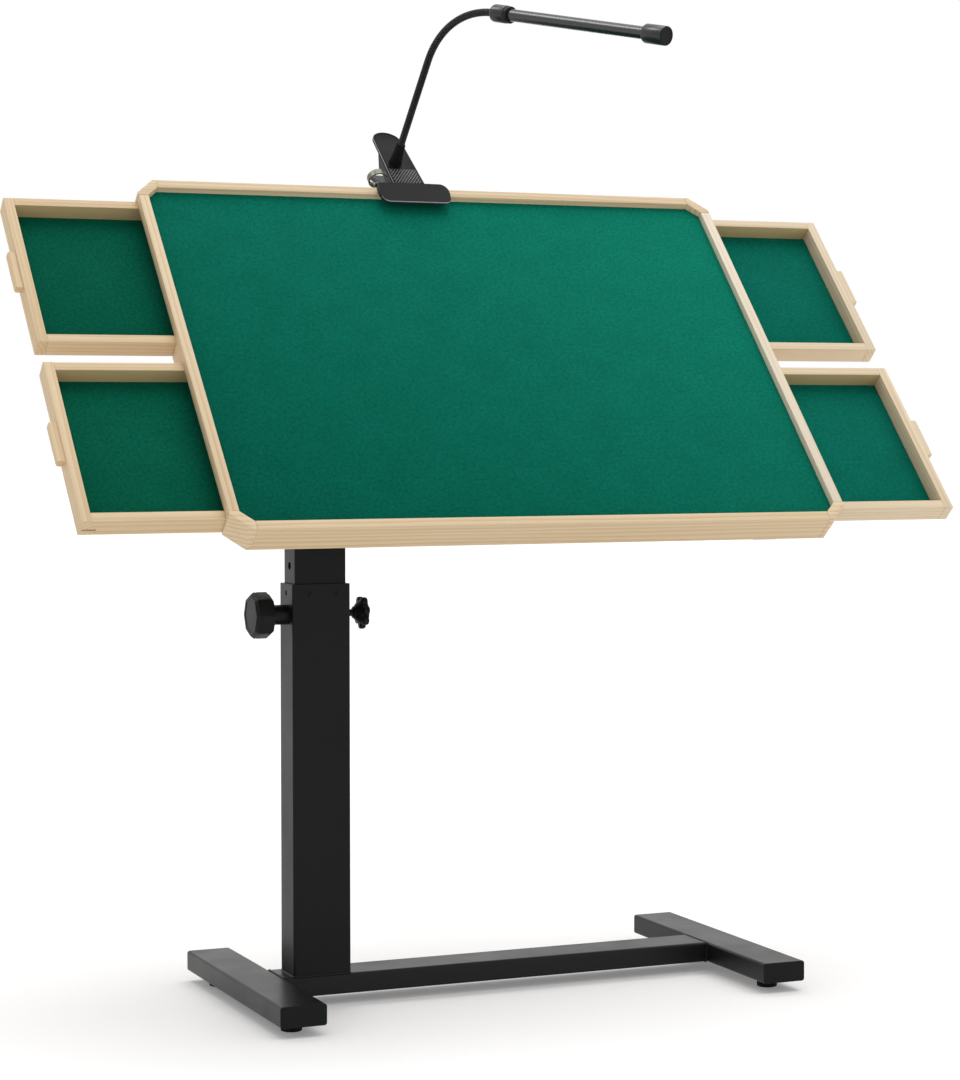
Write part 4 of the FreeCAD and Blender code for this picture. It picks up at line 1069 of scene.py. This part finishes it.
# ---- Gooseneck -----------------------------------------------------------------------
# A flexible steel hose in a woven black sleeve, which stays where it is bent. It runs out
# of the clip's boot and turns over to the light. Built in its own frame: along z, then to x.
neck_radius = 4.5
neck_step = 0.75
rib_rise, rib_pitch = 0.022, 3.0
strands_round = 9
neck_split = 89
bend_radius = 140
bend_turn = math.radians(60.7)
bend_low = Vector((0, 0, 128))
bend_high = bend_low + bend_radius * Vector((1 - math.cos(bend_turn), 0, math.sin(bend_turn)))
bar_way = Vector((math.sin(bend_turn), 0, math.cos(bend_turn)))
handle = 4 / 3 * math.tan(bend_turn / 4) * bend_radius
neck_up = Vector((0, 0, 1))
neck_line = [
    (-12 * neck_up, 30 * neck_up, 30 * neck_up),
    (bend_low, 40 * neck_up, handle * neck_up),
    (bend_high, handle * bar_way, 2 * bar_way),
    (bend_high + 6 * bar_way, 2 * bar_way, 2 * bar_way),
]


def curve_points(control):
    """Points along a smooth curve: each stop has a place and the reach of its two handles."""
    route = bpy.data.curves.new("neck_route", "CURVE")
    route.dimensions = "3D"
    route.resolution_u = 48
    spline = route.splines.new("BEZIER")
    spline.bezier_points.add(len(control) - 1)
    for point, (place, reach_in, reach_out) in zip(spline.bezier_points, control):
        point.co = place * mm
        point.handle_left = (place - reach_in) * mm
        point.handle_right = (place + reach_out) * mm
    holder = bpy.data.objects.new("neck_route", route)
    bpy.context.scene.collection.objects.link(holder)
    bpy.context.view_layer.update()
    evaluated = holder.evaluated_get(bpy.context.evaluated_depsgraph_get())
    points = [v.co.copy() for v in bpy.data.meshes.new_from_object(evaluated).vertices]
    bpy.data.objects.remove(holder)
    return points


def even_steps(points, step):
    """Points a step apart along the line through the given ones."""
    spaced = [points[0]]
    left = step
    for a, b in zip(points, points[1:]):
        run = (b - a).length
        while run >= left > 0:
            a = a + (b - a).normalized() * left
            spaced.append(a)
            run -= left
            left = step
        left -= run
    return spaced


def sleeve(name, points, start_length):
    """A tube with spiral ribs along the points, closed at both ends, with a wrap map."""
    sides = 24
    girth = 2 * math.pi * neck_radius * mm
    step = (points[1] - points[0]).length
    verts, faces, wraps = [], [], []
    for index, middle in enumerate(points):
        ahead = points[min(index + 1, len(points) - 1)] - points[max(index - 1, 0)]
        out = Vector((0, 1, 0)).cross(ahead.normalized())
        length = start_length + index * step
        for side in range(sides):
            turn = 2 * math.pi * side / sides
            rib = 1 + rib_rise * math.cos(2 * math.pi * length / (rib_pitch * mm) - turn)
            reach = neck_radius * mm * rib / (1 + rib_rise)
            sideways = Vector((0, math.sin(turn) * reach, 0))
            verts.append(middle + out * math.cos(turn) * reach + sideways)
    for index in range(len(points) - 1):
        for side in range(sides):
            a = index * sides + side
            b = index * sides + (side + 1) % sides
            faces.append((a, b, b + sides, a + sides))
            low = (start_length + index * step) / girth
            high = low + step / girth
            left, right = side / sides, (side + 1) / sides
            wraps += [(left, low), (right, low), (right, high), (left, high)]
    mesh = bpy.data.meshes.new(name)
    mesh.from_pydata(verts, [], faces)
    wrap_map = mesh.uv_layers.new(name="sleeve")
    for slot, place in zip(wrap_map.data, wraps):
        slot.uv = place
    piece = bpy.data.objects.new(name, mesh)
    bpy.context.scene.collection.objects.link(piece)
    only(piece)
    bpy.ops.object.mode_set(mode="EDIT")
    pick(piece, "EDGE", lambda e: e.is_boundary)
    bpy.ops.mesh.edge_face_add()
    bpy.ops.mesh.select_all(action="SELECT")
    bpy.ops.mesh.normals_make_consistent(inside=False)
    bpy.ops.object.mode_set(mode="OBJECT")
    smooth(piece, 70)
    return piece


braid_scale = strands_round * math.pi * math.sqrt(2) / 10
braid = crossed(
    "woven_sleeve", 45, braid_scale, (0.68, 0.92), (0.0015, 0.0015, 0.0015), 0.7, "sleeve"
)
neck_run = even_steps(curve_points(neck_line), neck_step * mm)
split = min(range(len(neck_run)), key=lambda i: abs(neck_run[i].z - neck_split * mm))
low_neck = sleeve("neck_sleeve_low", neck_run[: split + 1], 0)
high_neck = sleeve("neck_sleeve_high", neck_run[split:], split * neck_step * mm)


stands_for = ((low_neck, ("neck_lower", "neck_middle")), (high_neck, ("neck_upper",)))
for piece, nodes in stands_for:
    piece.data.transform(board_place @ neck_place)
    paint(piece, braid)
    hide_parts(*nodes)
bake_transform(low_neck)
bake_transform(high_neck)

# ---- Light bar -----------------------------------------------------------------------
# A collar of the same grey-black plastic takes the neck, with a push button on its back.
# The slim tube turns in a ring, shines through a white strip, and ends in a thick cap.
light_place = board_place @ neck_place @ Matrix.Translation(bend_high * mm)
light_place = light_place @ Matrix.Rotation(bend_turn - math.radians(90), 4, "Y")
bar_turn = light_place @ Matrix.Rotation(math.radians(90), 4, "Y")


def brushed(name, dark, light, gloss):
    """Anodised tube: fine lines along its length."""
    finish, nodes, links, shader = new_finish(name)
    where = nodes.new("ShaderNodeTexCoord").outputs["Object"]
    back = light_place.inverted()
    level = mapped(nodes, links, where, back.translation, back.to_euler())
    run = mapped(nodes, links, level, scale=(0.02, 1, 1))
    line = noise(nodes, links, run, 1800, 3, 0.6)
    links.new(blended(nodes, links, line, dark, light), shader.inputs["Base Color"])
    links.new(between(nodes, links, line, *gloss), shader.inputs["Roughness"])
    shader.inputs["Metallic"].default_value = 0.85
    raised(nodes, links, shader, line, 0.00004, 0.4)
    return finish


tube_grey = brushed("anodised_grey", (0.050, 0.051, 0.051), (0.080, 0.081, 0.080), (0.22, 0.32))
opal = coated("opal_strip", (0.78, 0.79, 0.78), (0.84, 0.84, 0.83), (0.35, 0.5), 900, 0.00002, 0.4)
opal_shader = opal.node_tree.nodes["Principled BSDF"]
opal_shader.inputs["Subsurface Weight"].default_value = 0.15
opal_shader.inputs["Subsurface Radius"].default_value = (0.004, 0.004, 0.004)
led_board = coated("led_board", (0.55, 0.56, 0.52), (0.68, 0.69, 0.64), (0.4, 0.5), 1500, 0.00003)
dress(tube_grey, "light_tube")
dress(opal, "light_diffuser")
dress(led_board, "led_strip")

barrel_satin = coated(
    "barrel_satin", (0.010, 0.0103, 0.0103), (0.016, 0.0163, 0.0163), (0.24, 0.32), 2400, 0.00002, 0.42
)
collar_profile = [
    (5.2, -0.7), (6.0, -0.4), (6.3, 0), (7.8, 0.4), (9.0, 1.1), (9.9, 2.1), (10.4, 3.4), (10.5, 4.6),
    (10.5, 21.8), (10.3, 22.4), (9.8, 22.8), (7.8, 22.9),
]
collar = turned("lamp_barrel", collar_profile, bar_turn, 64)
finish_piece(collar, 30, barrel_satin, "lamp_head", "lamp_collar")

ring_profile = [
    (7.5, 23.0), (9.4, 23.0), (9.9, 23.3), (10, 23.8), (10, 28.0), (9.7, 28.7), (9.0, 29), (8.4, 29),
    (8.2, 28.6), (7.4, 28.6),
]
ring_plastic = coated(
    "ring_plastic", (0.010, 0.010, 0.010), (0.016, 0.016, 0.016), (0.34, 0.42), 2400, 0.00002, 0.12
)
ring = turned("tube_ring", ring_profile, bar_turn, 64)
finish_piece(ring, 30, ring_plastic, "lamp_head", "swivel_ring")

button_profile = [
    (2.7, 8.4), (3.0, 8.6), (3.0, 11.2), (2.85, 11.5), (2.5, 11.66), (1.9, 11.7), (1.5, 11.6),
    (1.2, 11.45),
]
button_along = 11.5
button_seat = light_place @ Matrix.Translation(Vector((button_along, 0, 0)) * mm)
button_seat = button_seat @ Matrix.Rotation(math.radians(-90), 4, "X")
button = turned("push_button", button_profile, button_seat, 32)
finish_piece(button, 30, ring_plastic, "power_switch", "power_button")

cap_profile = [
    (7.4, 242.5), (10.0, 242.5), (10.7, 242.8), (11.0, 243.5), (11.0, 271.1), (10.8, 271.9),
    (10.2, 272.4), (9.4, 272.5), (8.9, 272.2), (8.6, 271.8), (6.0, 271.8),
]
cap_dish = 271.5
end_cap = turned("bar_end_cap", cap_profile, None, 64)
port = block("port_cut", (-1.6, 1.6), (5, 12), (257, 266))
ease(port, 1.2, 3)
carve(end_cap, port)
bpy.data.objects.remove(port)
smooth(end_cap, 30)
paint(end_cap, barrel_satin, moulded_black)
for face in end_cap.data.polygons:
    face.material_index = int(face.center.z > cap_dish * mm)
end_cap.data.transform(bar_turn)
hand_over(end_cap, "light_bar", ("light_end_cap",))

bpy.context.view_layer.update()
